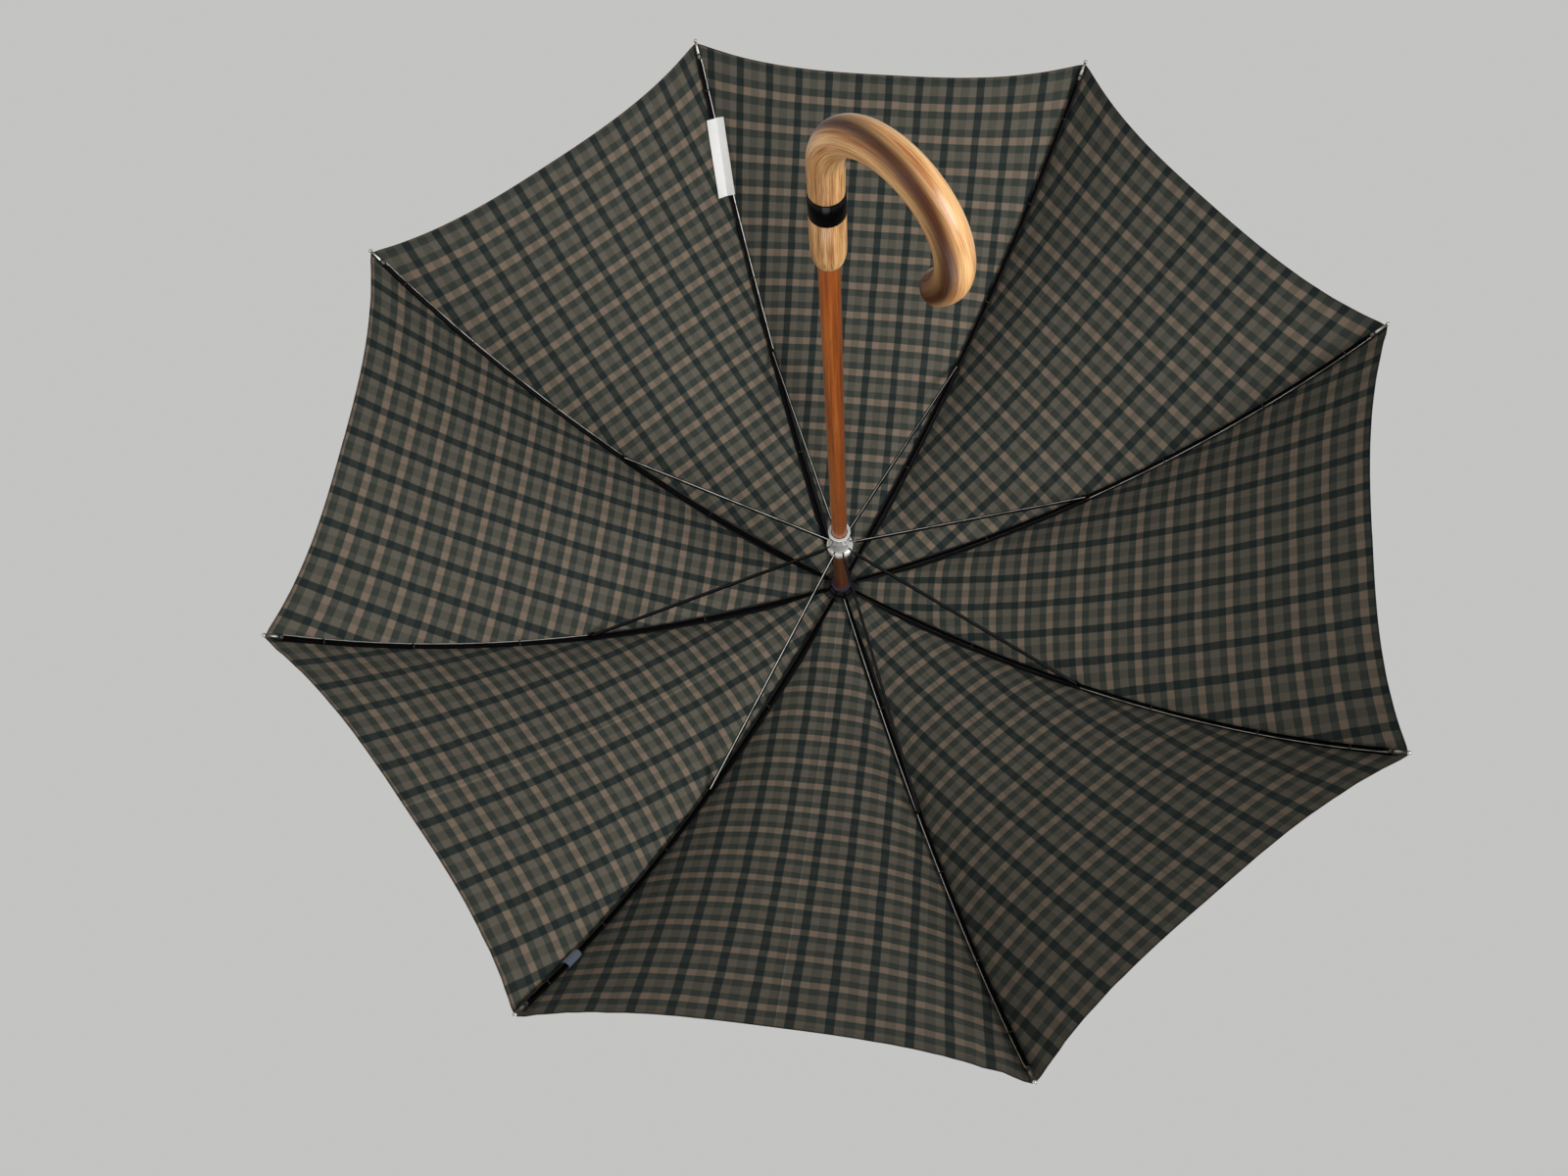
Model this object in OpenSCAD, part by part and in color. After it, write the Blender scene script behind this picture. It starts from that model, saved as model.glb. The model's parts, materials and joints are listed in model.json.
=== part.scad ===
// Stick umbrella with a wooden crook handle, shown open.
// Up is the ferrule. The origin is on the shaft's axis, at the middle of the handle's band.
// The frame is an eight-rib linkage: the ribs hang from a wire ring in the top notch, and the
// stretchers join them to a wire ring in the runner. The pivots form isosceles triangles, so
// the runner travels straight along the shaft while the ribs fold.

/* [Canopy] */
// Length of a rib along its curve, from its hinge to the end of its tip
rib_length = 600; // [560:1:640]
// Radius of the curve that an open rib takes
rib_curve_r = 580; // [540:1:640]
// Angle by which a rib rises as it leaves the top notch
rib_rise = 1.1; // [0:0.1:3]
// Distance from the end of a tip to the fabric's corner
hem_inset = 5; // [3:0.5:14]
// Distance that the hem's middle lies in from the chord between two corners
hem_scallop = 16.5; // [8:0.5:24]
// Height of the hem's middle above its corners
hem_rise = 11.5; // [5:0.5:30]
// Share of a gore's fall that its middle line has as a straight slope
gore_slope = 0.09; // [0:0.01:0.4]
// Power of the curve by which a gore turns up from its middle line to its ribs
gore_power = 2.9; // [2:0.1:4]
// Thickness of the fabric
fabric_t = 0.5; // [0.3:0.1:1]
// Radius of the fabric's hole at the crown
crown_hole_r = 8.2; // [8:0.1:9]
// Height that the fabric gains over the top notch
crown_lift = 1.8; // [1.5:0.1:3]

/* [Ribs and stretchers] */
// Outside width of a rib's channel
rib_w = 4.2; // [3.8:0.1:5]
// Height of a rib's channel
rib_h = 3.4; // [3:0.1:4]
// Thickness of the steel of a rib
rib_wall = 0.5; // [0.3:0.05:0.7]
// Distance along a rib from its hinge to the stretcher's joint
joint_at = 263.5; // [240:0.5:285]
// Depth of the stretcher's pin below the middle of the rib
joint_drop = 3.3; // [3.2:0.1:5]
// Outside width of a stretcher's channel
stretcher_w = 2.8; // [2.2:0.1:3]
// Height of a stretcher's channel
stretcher_h = 2.6; // [2.2:0.1:3]
// Thickness of the steel of a stretcher
stretcher_wall = 0.45; // [0.3:0.05:0.6]
// Length of a joint clip along the rib
clip_len = 10; // [8:0.5:14]
// Thickness of the steel of a joint clip
clip_wall = 0.4; // [0.3:0.05:0.5]
// Diameter of the rivet in a joint clip
rivet_d = 1.6; // [1.2:0.1:1.8]
// Length of a metal tip
tip_len = 20; // [15:0.5:30]
// Diameter of a metal tip
tip_d = 3.8; // [3.6:0.1:4.4]

/* [Notch and runner] */
// Radius of the two wire rings that the ribs and stretchers turn on
hinge_r = 11.6; // [11.4:0.1:13]
// Diameter of the ring wire
wire_d = 0.9; // [0.7:0.05:1]
// Diameter of the eyes at the ends of ribs and stretchers
eye_d = 3; // [2.8:0.1:3.2]
// Thickness of the flattened ends that carry the eyes
eye_t = 1.2; // [0.9:0.1:1.4]
// Diameter of the toothed flanges of the notch and runner
flange_d = 26.4; // [26:0.1:28]
// Height of the toothed flanges
flange_h = 6.4; // [5:0.1:6.6]
// Diameter of the notch's collar tube
collar_d = 20.4; // [19:0.1:20.6]
// Height of the collar tube below the rib hinges
collar_drop = 8; // [6:0.5:12]
// Diameter of the runner's tube
runner_d = 20.8; // [20:0.1:21]
// Distance from the stretchers' hinges down to the runner's rim
runner_drop = 35.6; // [28:0.1:50]
// Diameter of the runner's guide bores
runner_bore_d = 15.8; // [15.6:0.1:16.4]
// Height of each guide bore
guide_h = 5; // [3:0.5:8]
// Angle of a rib below the horizontal when the umbrella is closed
closed_angle = 88; // [80:0.5:88]

/* [Shaft and springs] */
// Diameter of the shaft
shaft_d = 15; // [14:0.1:15.2]
// Height of the rib hinges above the handle's band
notch_z = 640; // [640:1:700]
// Depth to which the shaft goes into the handle
shaft_seat = 60; // [40:1:80]
// Free length of a catch spring
spring_len = 50; // [40:1:60]
// Distance that a catch stands out of the shaft
spring_reach = 2.8; // [2:0.1:3]
// Width of a catch spring
spring_w = 2; // [1.6:0.1:2.4]
// Thickness of a catch spring
spring_t = 0.8; // [0.6:0.1:1]
// Direction of the catch springs round the shaft
spring_turn = 22.5; // [18:0.5:27]

/* [Handle] */
// Height of the handle's upper end above its band
handle_top = 47.5; // [42:0.5:70]
// Diameter of the crook
handle_d = 23; // [21:0.1:25]
// Diameter of the straight neck above the band
neck_d = 23.8; // [22:0.1:26]
// Diameter of the handle where it meets the shaft
lip_d = 16.6; // [16:0.1:18]
// Length of the rounded shoulder of the neck
shoulder_len = 16; // [8:0.5:24]
// Radius of the crook's bend, at the middle of the wood
bend_r = 51; // [40:0.5:60]
// Distance from the band's middle down to the start of the bend
bend_drop = 44.5; // [30:0.5:70]
// Radius of the inward curl of the nose
nose_r = 40; // [30:1:60]
// Angle through which the nose curls in
nose_curl = 40; // [10:1:60]
// Direction of the crook round the shaft, counted from the first rib
crook_turn = 152; // [140:1:165]
// Height of the handle's band
band_h = 20; // [12:0.5:25]
// Height of the middle of the band, from the middle of the grip
band_at = -11.5; // [-16:0.5:4]
// Diameter of the handle's band
band_d = 24.4; // [24:0.1:26]
// Depth of the groove that the band sits in, measured from the crook's surface
band_groove = 0.4; // [0.2:0.1:1]

/* [Crown and trim] */
// Diameter of the inner rosette
rosette_d = 38; // [30:1:50]
// Thickness of the inner rosette
rosette_t = 0.4; // [0.3:0.1:0.6]
// Diameter of the crown cap
cap_d = 27; // [22:0.5:32]
// Thickness of the crown cap at its middle
cap_t = 1.6; // [1.2:0.1:3]
// Length of the whole ferrule
ferrule_len = 75; // [60:1:100]
// Diameter of the ferrule's straight pin
ferrule_pin_d = 9; // [8:0.1:10]
// Length of the ferrule's straight pin, without its rounded end
ferrule_pin_len = 40; // [30:1:45]
// Diameter of the ferrule's foot
ferrule_foot_d = 17.2; // [16:0.1:20]
// Distance from the end of the rib back to the middle of the tie strap
strap_from_end = 90; // [40:1:120]
// Width of the tie strap
strap_w = 22; // [16:1:26]
// Share of the half gore that the tie strap covers
strap_share = 0.92; // [0.5:0.01:0.95]
// Thickness of the tie strap and its tab
strap_t = 0.8; // [0.5:0.1:1]
// Distance from the end of the rib back to the near end of the care label
label_from_end = 160; // [120:1:200]
// Length of the care label
label_len = 80; // [60:1:90]
// Width of the care label
label_w = 18; // [14:0.5:22]
// Thickness of the care label
label_t = 0.4; // [0.3:0.1:0.6]

/* [Clearances] */
// Clearance of fixed fits, on the radius or on each side
fit_gap = 0.05; // [0.02:0.01:0.08]
// Clearance of wires and rivets in their eyes, on the radius
pin_gap = 0.1; // [0.08:0.01:0.1]
// Clearance on each side of what moves in a slot
side_gap = 0.3; // [0.25:0.05:0.4]
// Clearance of fabric and soft trim
soft_gap = 0.3; // [0.3:0.05:0.5]

/* [Hidden] */
RIBS = 8;
$fn = 72;

gore_angle = 360 / RIBS;
half_gore = gore_angle / 2;
shaft_r = shaft_d / 2;
strap_rib = 6;
label_rib = 1;

// A rib's middle line is an arc in the plane of the shaft and the rib.
root_len = 5;          // from a hinge to the start of a channel
web_overlap = 2;       // by which a flattened end runs into its channel
rib_lift = 0.8;        // of the channel's middle above the hinge
arc_x = hinge_r + rib_curve_r * sin(rib_rise);
arc_z = notch_z + rib_lift - rib_curve_r * cos(rib_rise);
function rib_angle(s) = s / rib_curve_r * 180 / PI - rib_rise;
function rib_x(s, out = 0) = arc_x + (rib_curve_r + out) * sin(rib_angle(s));
function rib_z(s, out = 0) = arc_z + (rib_curve_r + out) * cos(rib_angle(s));

// The stretcher's pivots: N is the rib's hinge, J the joint, P the runner's hinge.
joint_x = rib_x(joint_at, -joint_drop);
joint_z = rib_z(joint_at, -joint_drop);
open_angle = atan2(notch_z - joint_z, joint_x - hinge_r);
stretcher_len = norm([joint_x - hinge_r, notch_z - joint_z]);
runner_z = 2 * joint_z - notch_z;
runner_rim_z = runner_z - runner_drop;
closed_runner_z = notch_z - 2 * stretcher_len * sin(closed_angle);

// The rib bends at the outer end of its clip as the umbrella closes.
clip_past_joint = 4.5;
flex_at = joint_at + clip_past_joint + 0.5;
flex_gap = 0.3;
tip_at = rib_length - tip_len;
strap_at = rib_length - strap_from_end;
label_at = rib_length - label_from_end;
spigot_d = tip_d - 0.8;
spigot_len = 9.5;

// Seats of the flanges.
slot_w = eye_t + 2 * side_gap;
slot_floor_r = hinge_r - eye_d / 2 - side_gap;
flange_half = flange_h / 2;

// The runner's tube: its rim, and the thinner wall between its two guides.
rim_h = 1.6;
rim_lip = 0.4;
relief_wall = 1.5;

// The fabric's ridge is a flat strip over the clips and tips. The strip's edges lie on the line
// between two ribs, so it stands lower than the seat by ridge_fall, seen along the shaft.
row_sag = 0.2;         // of the fabric between two of its rows
clip_half_w = rib_w / 2 + fit_gap + clip_wall;
clip_top = rib_h / 2 + fit_gap + clip_wall;
tip_top = tip_d / 2 + tip_len * tip_len / (2 * rib_curve_r);
ridge_half_w = clip_half_w + 0.1;
ridge_fall = ridge_half_w * tan(half_gore);
canopy_seat = row_sag + soft_gap + max(
    clip_top + ridge_fall * sin(rib_angle(joint_at + clip_past_joint)),
    tip_top + ridge_fall * sin(rib_angle(rib_length))
);
crown_blend = 40;      // distance along the rib over which the crown's lift fades
crown_s = crown_hole_r - hinge_r;
hem_s = rib_length - hem_inset;
PANEL_ROWS = 20;
// Shares of the half gore at which a panel's faces meet, out from its ridge.
PANEL_SHARES = [0.13, 0.28, 0.48, 0.72, 1];
RIDGE_LIMIT = 0.1;
seam_gap = 0.4;
function lift_at(s) = crown_lift * pow(max(0, 1 - s / crown_blend), 2);
function meridian_s(u) = crown_s + u * (hem_s - crown_s);
function fabric_rib_r(u) = rib_x(meridian_s(u), canopy_seat);
function fabric_rib_z(u) = rib_z(meridian_s(u), canopy_seat) + lift_at(meridian_s(u));
hem_mid_r = fabric_rib_r(1) * cos(half_gore) - hem_scallop;
hem_mid_z = fabric_rib_z(1) + hem_rise;
function fall(u) = (fabric_rib_r(u) - fabric_rib_r(0)) / (fabric_rib_r(1) - fabric_rib_r(0));
function mid_r(u) = fabric_rib_r(0) + fall(u) * (hem_mid_r - fabric_rib_r(0));
function mid_z(u) = fabric_rib_z(0)
    - (fabric_rib_z(0) - hem_mid_z) * (gore_slope * fall(u) + (1 - gore_slope) * fall(u) * fall(u));
// The flat ridge over a rib, as a share of the half gore.
function ridge_share(u) = min(
    RIDGE_LIMIT,
    ridge_half_w / (fabric_rib_r(u) * sin(half_gore) * cos(half_gore))
);
// How nearly a point has the height of its rib: 0 on the middle line and 1 on the ridge.
function rib_weight(u, w) = pow(min(1, w / (1 - ridge_share(u))), gore_power);
// A point of a gore: w is 0 on its middle line and 1 on its rib.
function gore_point(u, w) = [
    mid_r(u) + rib_weight(u, w) * (fabric_rib_r(u) * cos(half_gore) - mid_r(u)),
    w * fabric_rib_r(u) * sin(half_gore),
    mid_z(u) + rib_weight(u, w) * (fabric_rib_z(u) - mid_z(u))
];
// The same point seen from the rib: v is 0 on the rib and 1 or -1 on the middle lines.
function turned(p, a) = [p.x * cos(a) - p.y * sin(a), p.x * sin(a) + p.y * cos(a), p.z];
function mirrored(p, side) = [p.x, side * p.y, p.z];
function seam_shift(v) = [sin(half_gore), -cos(half_gore), 0] * seam_gap / 2 * v;
function half_point(u, v) = turned(mirrored(gore_point(u, 1 - v), -1), half_gore) + seam_shift(v);
function outward(p, u) = [
    sin(rib_angle(meridian_s(u))) * p.x / norm([p.x, p.y]),
    sin(rib_angle(meridian_s(u))) * p.y / norm([p.x, p.y]),
    cos(rib_angle(meridian_s(u)))
];
function lifted(p, u, lift) = p + lift * outward(p, u);
function fabric_point(u, v, lift) = lifted(mirrored(half_point(u, abs(v)), v < 0 ? -1 : 1), u, lift);
// The shares at which a panel's faces meet, and a point on the face between two of them.
function half_shares(u) = concat([ridge_share(u)], PANEL_SHARES);
function panel_shares(u) = concat(
    [for (i = [len(PANEL_SHARES):-1:0]) -half_shares(u)[i]],
    half_shares(u)
);
function face_point(u, v, lift) = let (
    near = max([for (c = half_shares(u)) if (c <= v) c]),
    far = min([for (c = half_shares(u)) if (c > v) c]),
    share = (v - near) / (far - near)
) (1 - share) * fabric_point(u, near, lift) + share * fabric_point(u, far, lift);

// Crown stack, from the notch up.
rosette_z = notch_z + flange_half;
cap_z = fabric_rib_z(0) + fabric_t + soft_gap;
ferrule_z = cap_z + cap_t;
ferrule_top_z = ferrule_z + ferrule_len;
spigot_top_d = 11;
spigot_top_len = 14;

// Catch springs: each is a leaf in a slot of the shaft, with its catch beside the runner.
catch_gap = 0.5;
catch_x = shaft_r + spring_reach;
spring_root_x = 5.6;
spring_tail = 6;
slot_floor_x = 3.4;
top_catch_z = runner_rim_z - catch_gap;
bottom_catch_z = closed_runner_z + flange_half + catch_gap;

// Extrude a section along a rib, from s0 to s1: its x is outward, its y across the rib.
module along_rib(s0, s1) {
    translate([arc_x, 0, arc_z]) rotate([90, 0, 0]) rotate([0, 0, 90 - rib_angle(s1)])
        rotate_extrude(angle = rib_angle(s1) - rib_angle(s0), $fn = 360)
            translate([rib_curve_r, 0]) children();
}

// Place a piece at a point of the rib: its x runs along the rib and its z outward.
module on_rib(s) {
    translate([rib_x(s), 0, rib_z(s)]) rotate([0, rib_angle(s), 0]) children();
}

module at_rib(k) {
    rotate([0, 0, (k - 1) * gore_angle]) children();
}

// Cross-section of a folded steel channel, open towards -x.
module channel(width, height, wall) {
    difference() {
        translate([-height / 2, -width / 2]) square([height, width]);
        translate([-height / 2 - 1, wall - width / 2]) square([height - wall + 1, width - 2 * wall]);
    }
}

// A flattened end: an eye about the y axis and a web running out along x.
module eye_end(thick, hole_d, length, low, high) {
    difference() {
        union() {
            rotate([90, 0, 0]) cylinder(d = eye_d, h = thick, center = true);
            translate([0, -thick / 2, low]) cube([length, thick, high - low]);
        }
        rotate([90, 0, 0]) cylinder(d = hole_d, h = thick + 2, center = true);
    }
}

module wire_ring(radius_of_wire) {
    rotate_extrude() translate([hinge_r, 0]) circle(r = radius_of_wire, $fn = 32);
}

module hinge_slots() {
    for (k = [1:RIBS])
        at_rib(k) translate([slot_floor_r, -slot_w / 2, -flange_h]) cube([flange_d, slot_w, 2 * flange_h]);
}

module rib(k) {
    color("#1b1b1d") at_rib(k) {
        along_rib(root_len, flex_at - flex_gap / 2) channel(rib_w, rib_h, rib_wall);
        translate([hinge_r, 0, notch_z])
            eye_end(eye_t, wire_d + 2 * pin_gap, root_len + web_overlap,
                -eye_d * 0.3, rib_lift + rib_h / 2 - rib_wall / 2);
    }
}

module rib_outer(k) {
    plug_len = 4;
    start = flex_at + flex_gap / 2;
    color("#1b1b1d") at_rib(k) {
        difference() {
            along_rib(start, tip_at) square([rib_h, rib_w], center = true);
            along_rib(start - 1, tip_at - plug_len) translate([-rib_h / 2 - 1, rib_wall - rib_w / 2])
                square([rib_h - rib_wall + 1, rib_w - 2 * rib_wall]);
        }
        on_rib(tip_at) translate([-plug_len / 2, 0, 0]) rotate([0, 90, 0])
            cylinder(d = spigot_d, h = plug_len / 2 + spigot_len);
    }
}

module rib_tip(k) {
    straight = tip_len - tip_d / 2;
    color("#c9c8c4") at_rib(k) on_rib(tip_at) difference() {
        union() {
            translate([flex_gap, 0, 0]) rotate([0, 90, 0]) cylinder(d = tip_d, h = straight - flex_gap);
            translate([straight, 0, 0]) sphere(d = tip_d, $fn = 48);
        }
        rotate([0, 90, 0]) cylinder(d = spigot_d + 2 * fit_gap, h = spigot_len + fit_gap);
        translate([straight - tip_d / 4, 0, 0]) rotate([90, 0, 0])
            cylinder(d = tip_d / 4, h = 2 * tip_d, center = true);
    }
}

module joint_clip(k) {
    inner = rib_w / 2 + fit_gap;
    outer = clip_half_w;
    top = rib_h / 2 + fit_gap;
    lug_r = eye_d / 2 + 0.2;
    head_t = 0.35;
    color("#242427") at_rib(k) on_rib(joint_at) {
        difference() {
            union() {
                translate([clip_past_joint - clip_len, -outer, -rib_h / 2])
                    cube([clip_len, 2 * outer, rib_h / 2 + clip_top]);
                translate([-lug_r, -outer, -joint_drop]) cube([2 * lug_r, 2 * outer, joint_drop]);
                translate([0, 0, -joint_drop]) rotate([90, 0, 0])
                    cylinder(r = lug_r, h = 2 * outer, center = true);
            }
            translate([-clip_len, -inner, -3 * joint_drop])
                cube([2 * clip_len, 2 * inner, 3 * joint_drop + top]);
            translate([0, 0, -joint_drop]) rotate([90, 0, 0])
                cylinder(d = rivet_d + 2 * fit_gap, h = 4 * outer, center = true);
        }
        translate([0, 0, -joint_drop]) rotate([90, 0, 0]) {
            cylinder(d = rivet_d, h = 2 * (outer + fit_gap + head_t), center = true);
            for (side = [-1, 1])
                translate([0, 0, side * (outer + fit_gap + head_t / 2)])
                    cylinder(d = rivet_d + 1.2, h = head_t, center = true);
        }
    }
}

module stretcher(k) {
    bottom = -stretcher_h / 2;
    color("#202022") at_rib(k) translate([hinge_r, 0, runner_z]) rotate([0, -open_angle, 0]) {
        translate([root_len, 0, 0]) rotate([0, 90, 0])
            linear_extrude(stretcher_len - 2 * root_len)
                channel(stretcher_w, stretcher_h, stretcher_wall);
        eye_end(eye_t, wire_d + 2 * pin_gap, root_len + web_overlap,
            bottom + stretcher_wall / 2, eye_d * 0.3);
        translate([stretcher_len, 0, 0]) rotate([0, 0, 180])
            eye_end(stretcher_w, rivet_d + 2 * pin_gap, root_len + web_overlap, bottom, eye_d * 0.3);
    }
}

// A thin solid between two grids of points, rows running outward and columns across.
module sheet_solid(top, bottom) {
    rows = len(top) - 1;
    columns = len(top[0]) - 1;
    points = concat([for (row = top) each row], [for (row = bottom) each row]);
    function t(i, j) = i * (columns + 1) + j;
    function b(i, j) = t(i, j) + (rows + 1) * (columns + 1);
    function both(a, c, d, e) = [[a, c, d], [a, d, e]];
    faces = concat(
        [for (i = [0:rows - 1], j = [0:columns - 1])
            each both(t(i, j), t(i, j + 1), t(i + 1, j + 1), t(i + 1, j))],
        [for (i = [0:rows - 1], j = [0:columns - 1])
            each both(b(i, j), b(i + 1, j), b(i + 1, j + 1), b(i, j + 1))],
        [for (i = [0:rows - 1]) each both(t(i, 0), t(i + 1, 0), b(i + 1, 0), b(i, 0))],
        [for (i = [0:rows - 1])
            each both(t(i + 1, columns), t(i, columns), b(i, columns), b(i + 1, columns))],
        [for (j = [0:columns - 1]) each both(t(0, j + 1), t(0, j), b(0, j), b(0, j + 1))],
        [for (j = [0:columns - 1]) each both(t(rows, j), t(rows, j + 1), b(rows, j + 1), b(rows, j))]
    );
    polyhedron(points, faces, convexity = 4);
}

module canopy_panel(k) {
    function row(u, lift) = [for (v = panel_shares(u)) fabric_point(u, v, lift)];
    color("#5b584c") at_rib(k) sheet_solid(
        [for (i = [0:PANEL_ROWS]) row(i / PANEL_ROWS, fabric_t)],
        [for (i = [0:PANEL_ROWS]) row(i / PANEL_ROWS, 0)]
    );
}

// The strap lies over the fabric beside its rib, and its sewn end wraps the rib.
module tie_strap() {
    rows = 2;
    columns = 6;
    start = 0.03;
    lift = fabric_t + soft_gap;
    function strap_u(i) = (strap_at + (i / rows - 0.5) * strap_w - crown_s) / (hem_s - crown_s);
    function strap_v(j) = start + (strap_share - start) * j / columns;
    color("#3b4048") at_rib(strap_rib) {
        sheet_solid(
            [for (i = [0:rows]) [for (j = [0:columns]) face_point(strap_u(i), strap_v(j), lift + strap_t)]],
            [for (i = [0:rows]) [for (j = [0:columns]) face_point(strap_u(i), strap_v(j), lift)]]
        );
        along_rib(strap_at - strap_w / 2, strap_at + strap_w / 2) difference() {
            reach = rib_w / 2 + soft_gap;
            depth = rib_h / 2 + soft_gap;
            translate([-depth - strap_t / 2, -reach - strap_t / 2])
                square([depth + strap_t / 2 + rib_h / 4, 2 * reach + strap_t]);
            translate([-depth, -reach]) square([depth + rib_h, 2 * reach]);
        }
    }
}

module care_label() {
    depth = rib_h / 2 + soft_gap;
    droop = 1;
    color("#f1f1ee") at_rib(label_rib) along_rib(label_at, label_at + label_len)
        polygon([
            [-depth, 0], [-depth - droop, label_w / 2], [-depth - droop - label_t, label_w / 2],
            [-depth - label_t, 0], [-depth - droop - label_t, -label_w / 2], [-depth - droop, -label_w / 2]
        ]);
}

module top_notch() {
    color("#2a2833") translate([0, 0, notch_z]) {
        difference() {
            union() {
                translate([0, 0, -collar_drop]) cylinder(d = collar_d, h = collar_drop + flange_half);
                translate([0, 0, -flange_half]) cylinder(d = flange_d, h = flange_h);
            }
            cylinder(d = shaft_d + 2 * fit_gap, h = 4 * collar_drop, center = true);
            hinge_slots();
            wire_ring(wire_d / 2 + fit_gap);
        }
        wire_ring(wire_d / 2);
    }
}

module runner() {
    top = runner_z + flange_half;
    rim_d = runner_d + 2 * rim_lip;
    relief_d = runner_d - 2 * relief_wall;
    color("#dfe3e4") {
        difference() {
            union() {
                translate([0, 0, runner_rim_z]) cylinder(d = runner_d, h = top - runner_rim_z);
                translate([0, 0, runner_rim_z]) cylinder(d = rim_d, h = rim_h);
                translate([0, 0, runner_z - flange_half]) cylinder(d = flange_d, h = flange_h);
            }
            translate([0, 0, runner_rim_z - 1]) cylinder(d = runner_bore_d, h = top - runner_rim_z + 2);
            translate([0, 0, runner_rim_z + guide_h])
                cylinder(d = relief_d, h = top - runner_rim_z - flange_h - 2 * guide_h);
            translate([0, 0, runner_z]) {
                hinge_slots();
                wire_ring(wire_d / 2 + fit_gap);
            }
        }
        translate([0, 0, runner_z]) wire_ring(wire_d / 2);
    }
}

module rosette() {
    color("#1d1e20") translate([0, 0, rosette_z]) difference() {
        cylinder(d = rosette_d, h = rosette_t);
        translate([0, 0, -1]) cylinder(d = shaft_d + 2 * fit_gap, h = rosette_t + 2);
    }
}

module crown_cap() {
    edge_t = cap_t / 2;
    color("#2b2b2d") translate([0, 0, cap_z]) rotate_extrude()
        polygon([
            [shaft_r + fit_gap, 0], [cap_d / 2, 0], [cap_d / 2, edge_t],
            [cap_d / 2 - 2, cap_t], [shaft_r + fit_gap, cap_t]
        ]);
}

module ferrule() {
    foot_h = 3;
    taper_h = ferrule_len - ferrule_pin_len - ferrule_pin_d / 2 - foot_h;
    color("#b9b7b2") translate([0, 0, ferrule_z]) difference() {
        union() {
            cylinder(d = ferrule_foot_d, h = foot_h);
            translate([0, 0, foot_h]) cylinder(d1 = ferrule_foot_d, d2 = ferrule_pin_d, h = taper_h);
            translate([0, 0, foot_h + taper_h]) cylinder(d = ferrule_pin_d, h = ferrule_pin_len);
            translate([0, 0, foot_h + taper_h + ferrule_pin_len]) sphere(d = ferrule_pin_d);
        }
        translate([0, 0, -1]) cylinder(d = spigot_top_d + 2 * fit_gap, h = spigot_top_len + 1 + fit_gap);
    }
}

// Outline of a catch spring in the plane of its slot: dir is 1 where the catch is above its root.
module spring_leaf(catch_z, dir) {
    root_z = catch_z - dir * spring_len;
    hook = spring_reach + 0.4;
    color("#b0a894") rotate([0, 0, spring_turn]) rotate([90, 0, 0]) linear_extrude(spring_w, center = true)
        polygon([
            [spring_root_x, root_z - dir * spring_tail], [spring_root_x, root_z], [catch_x, catch_z],
            [catch_x - hook, catch_z], [catch_x - hook, catch_z - dir * spring_t],
            [catch_x - 1.4 * spring_t, catch_z - dir * spring_t],
            [spring_root_x - spring_t, root_z], [spring_root_x - spring_t, root_z - dir * spring_tail]
        ]);
}

module top_spring() {
    spring_leaf(top_catch_z, 1);
}

module bottom_spring() {
    spring_leaf(bottom_catch_z, -1);
}

module spring_slot(catch_z, dir) {
    low = min(catch_z, catch_z - dir * (spring_len + spring_tail)) - side_gap;
    rotate([0, 0, spring_turn]) translate([slot_floor_x, -spring_w / 2 - side_gap, low])
        cube([shaft_d, spring_w + 2 * side_gap, spring_len + spring_tail + 2 * side_gap]);
}

module shaft() {
    bottom = handle_top - shaft_seat;
    color("#8a4420") difference() {
        union() {
            translate([0, 0, bottom]) cylinder(d = shaft_d, h = ferrule_z - bottom);
            translate([0, 0, bottom]) cylinder(d = spigot_top_d, h = ferrule_z + spigot_top_len - bottom);
        }
        spring_slot(top_catch_z, 1);
        spring_slot(bottom_catch_z, -1);
    }
}

// The straight part of the handle: a shoulder rounded by a quarter ellipse, the band's groove
// and the shank.
module handle_body() {
    STEPS = 8;
    neck_r = neck_d / 2;
    lip_r = lip_d / 2;
    groove_r = handle_d / 2 - band_groove;
    rotate_extrude() polygon(concat(
        [[0, -bend_drop], [handle_d / 2, -bend_drop], [handle_d / 2, band_at - band_h / 2]],
        [[groove_r, band_at - band_h / 2], [groove_r, band_at + band_h / 2], [neck_r, band_at + band_h / 2]],
        [for (i = [0:STEPS]) [
            lip_r + (neck_r - lip_r) * cos(90 * i / STEPS),
            handle_top - shoulder_len * (1 - sin(90 * i / STEPS))
        ]],
        [[0, handle_top]]
    ));
}

module crook_handle() {
    curl_x = 2 * bend_r - nose_r;
    color("#d9a362") {
        difference() {
            handle_body();
            translate([0, 0, handle_top - shaft_seat - fit_gap])
                cylinder(d = shaft_d + 2 * fit_gap, h = shaft_seat + 1);
        }
        rotate([0, 0, crook_turn]) {
            translate([bend_r, 0, -bend_drop]) rotate([90, 0, 0]) rotate([0, 0, 180])
                rotate_extrude(angle = 180) translate([bend_r, 0]) circle(d = handle_d, $fn = 64);
            translate([curl_x, 0, -bend_drop]) rotate([90, 0, 0]) {
                rotate_extrude(angle = nose_curl) translate([nose_r, 0]) circle(d = handle_d, $fn = 64);
                rotate([0, 0, nose_curl]) translate([nose_r, 0, 0]) rotate([-90, 0, 0])
                    rotate_extrude($fn = 64) intersection() {
                        circle(d = handle_d, $fn = 64);
                        square(handle_d);
                    }
            }
        }
    }
}

module handle_band() {
    color("#111112") translate([0, 0, band_at]) difference() {
        cylinder(d = band_d, h = band_h - 2 * fit_gap, center = true);
        cylinder(d = handle_d - 2 * band_groove + 2 * fit_gap, h = band_h + 2, center = true);
    }
}

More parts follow.
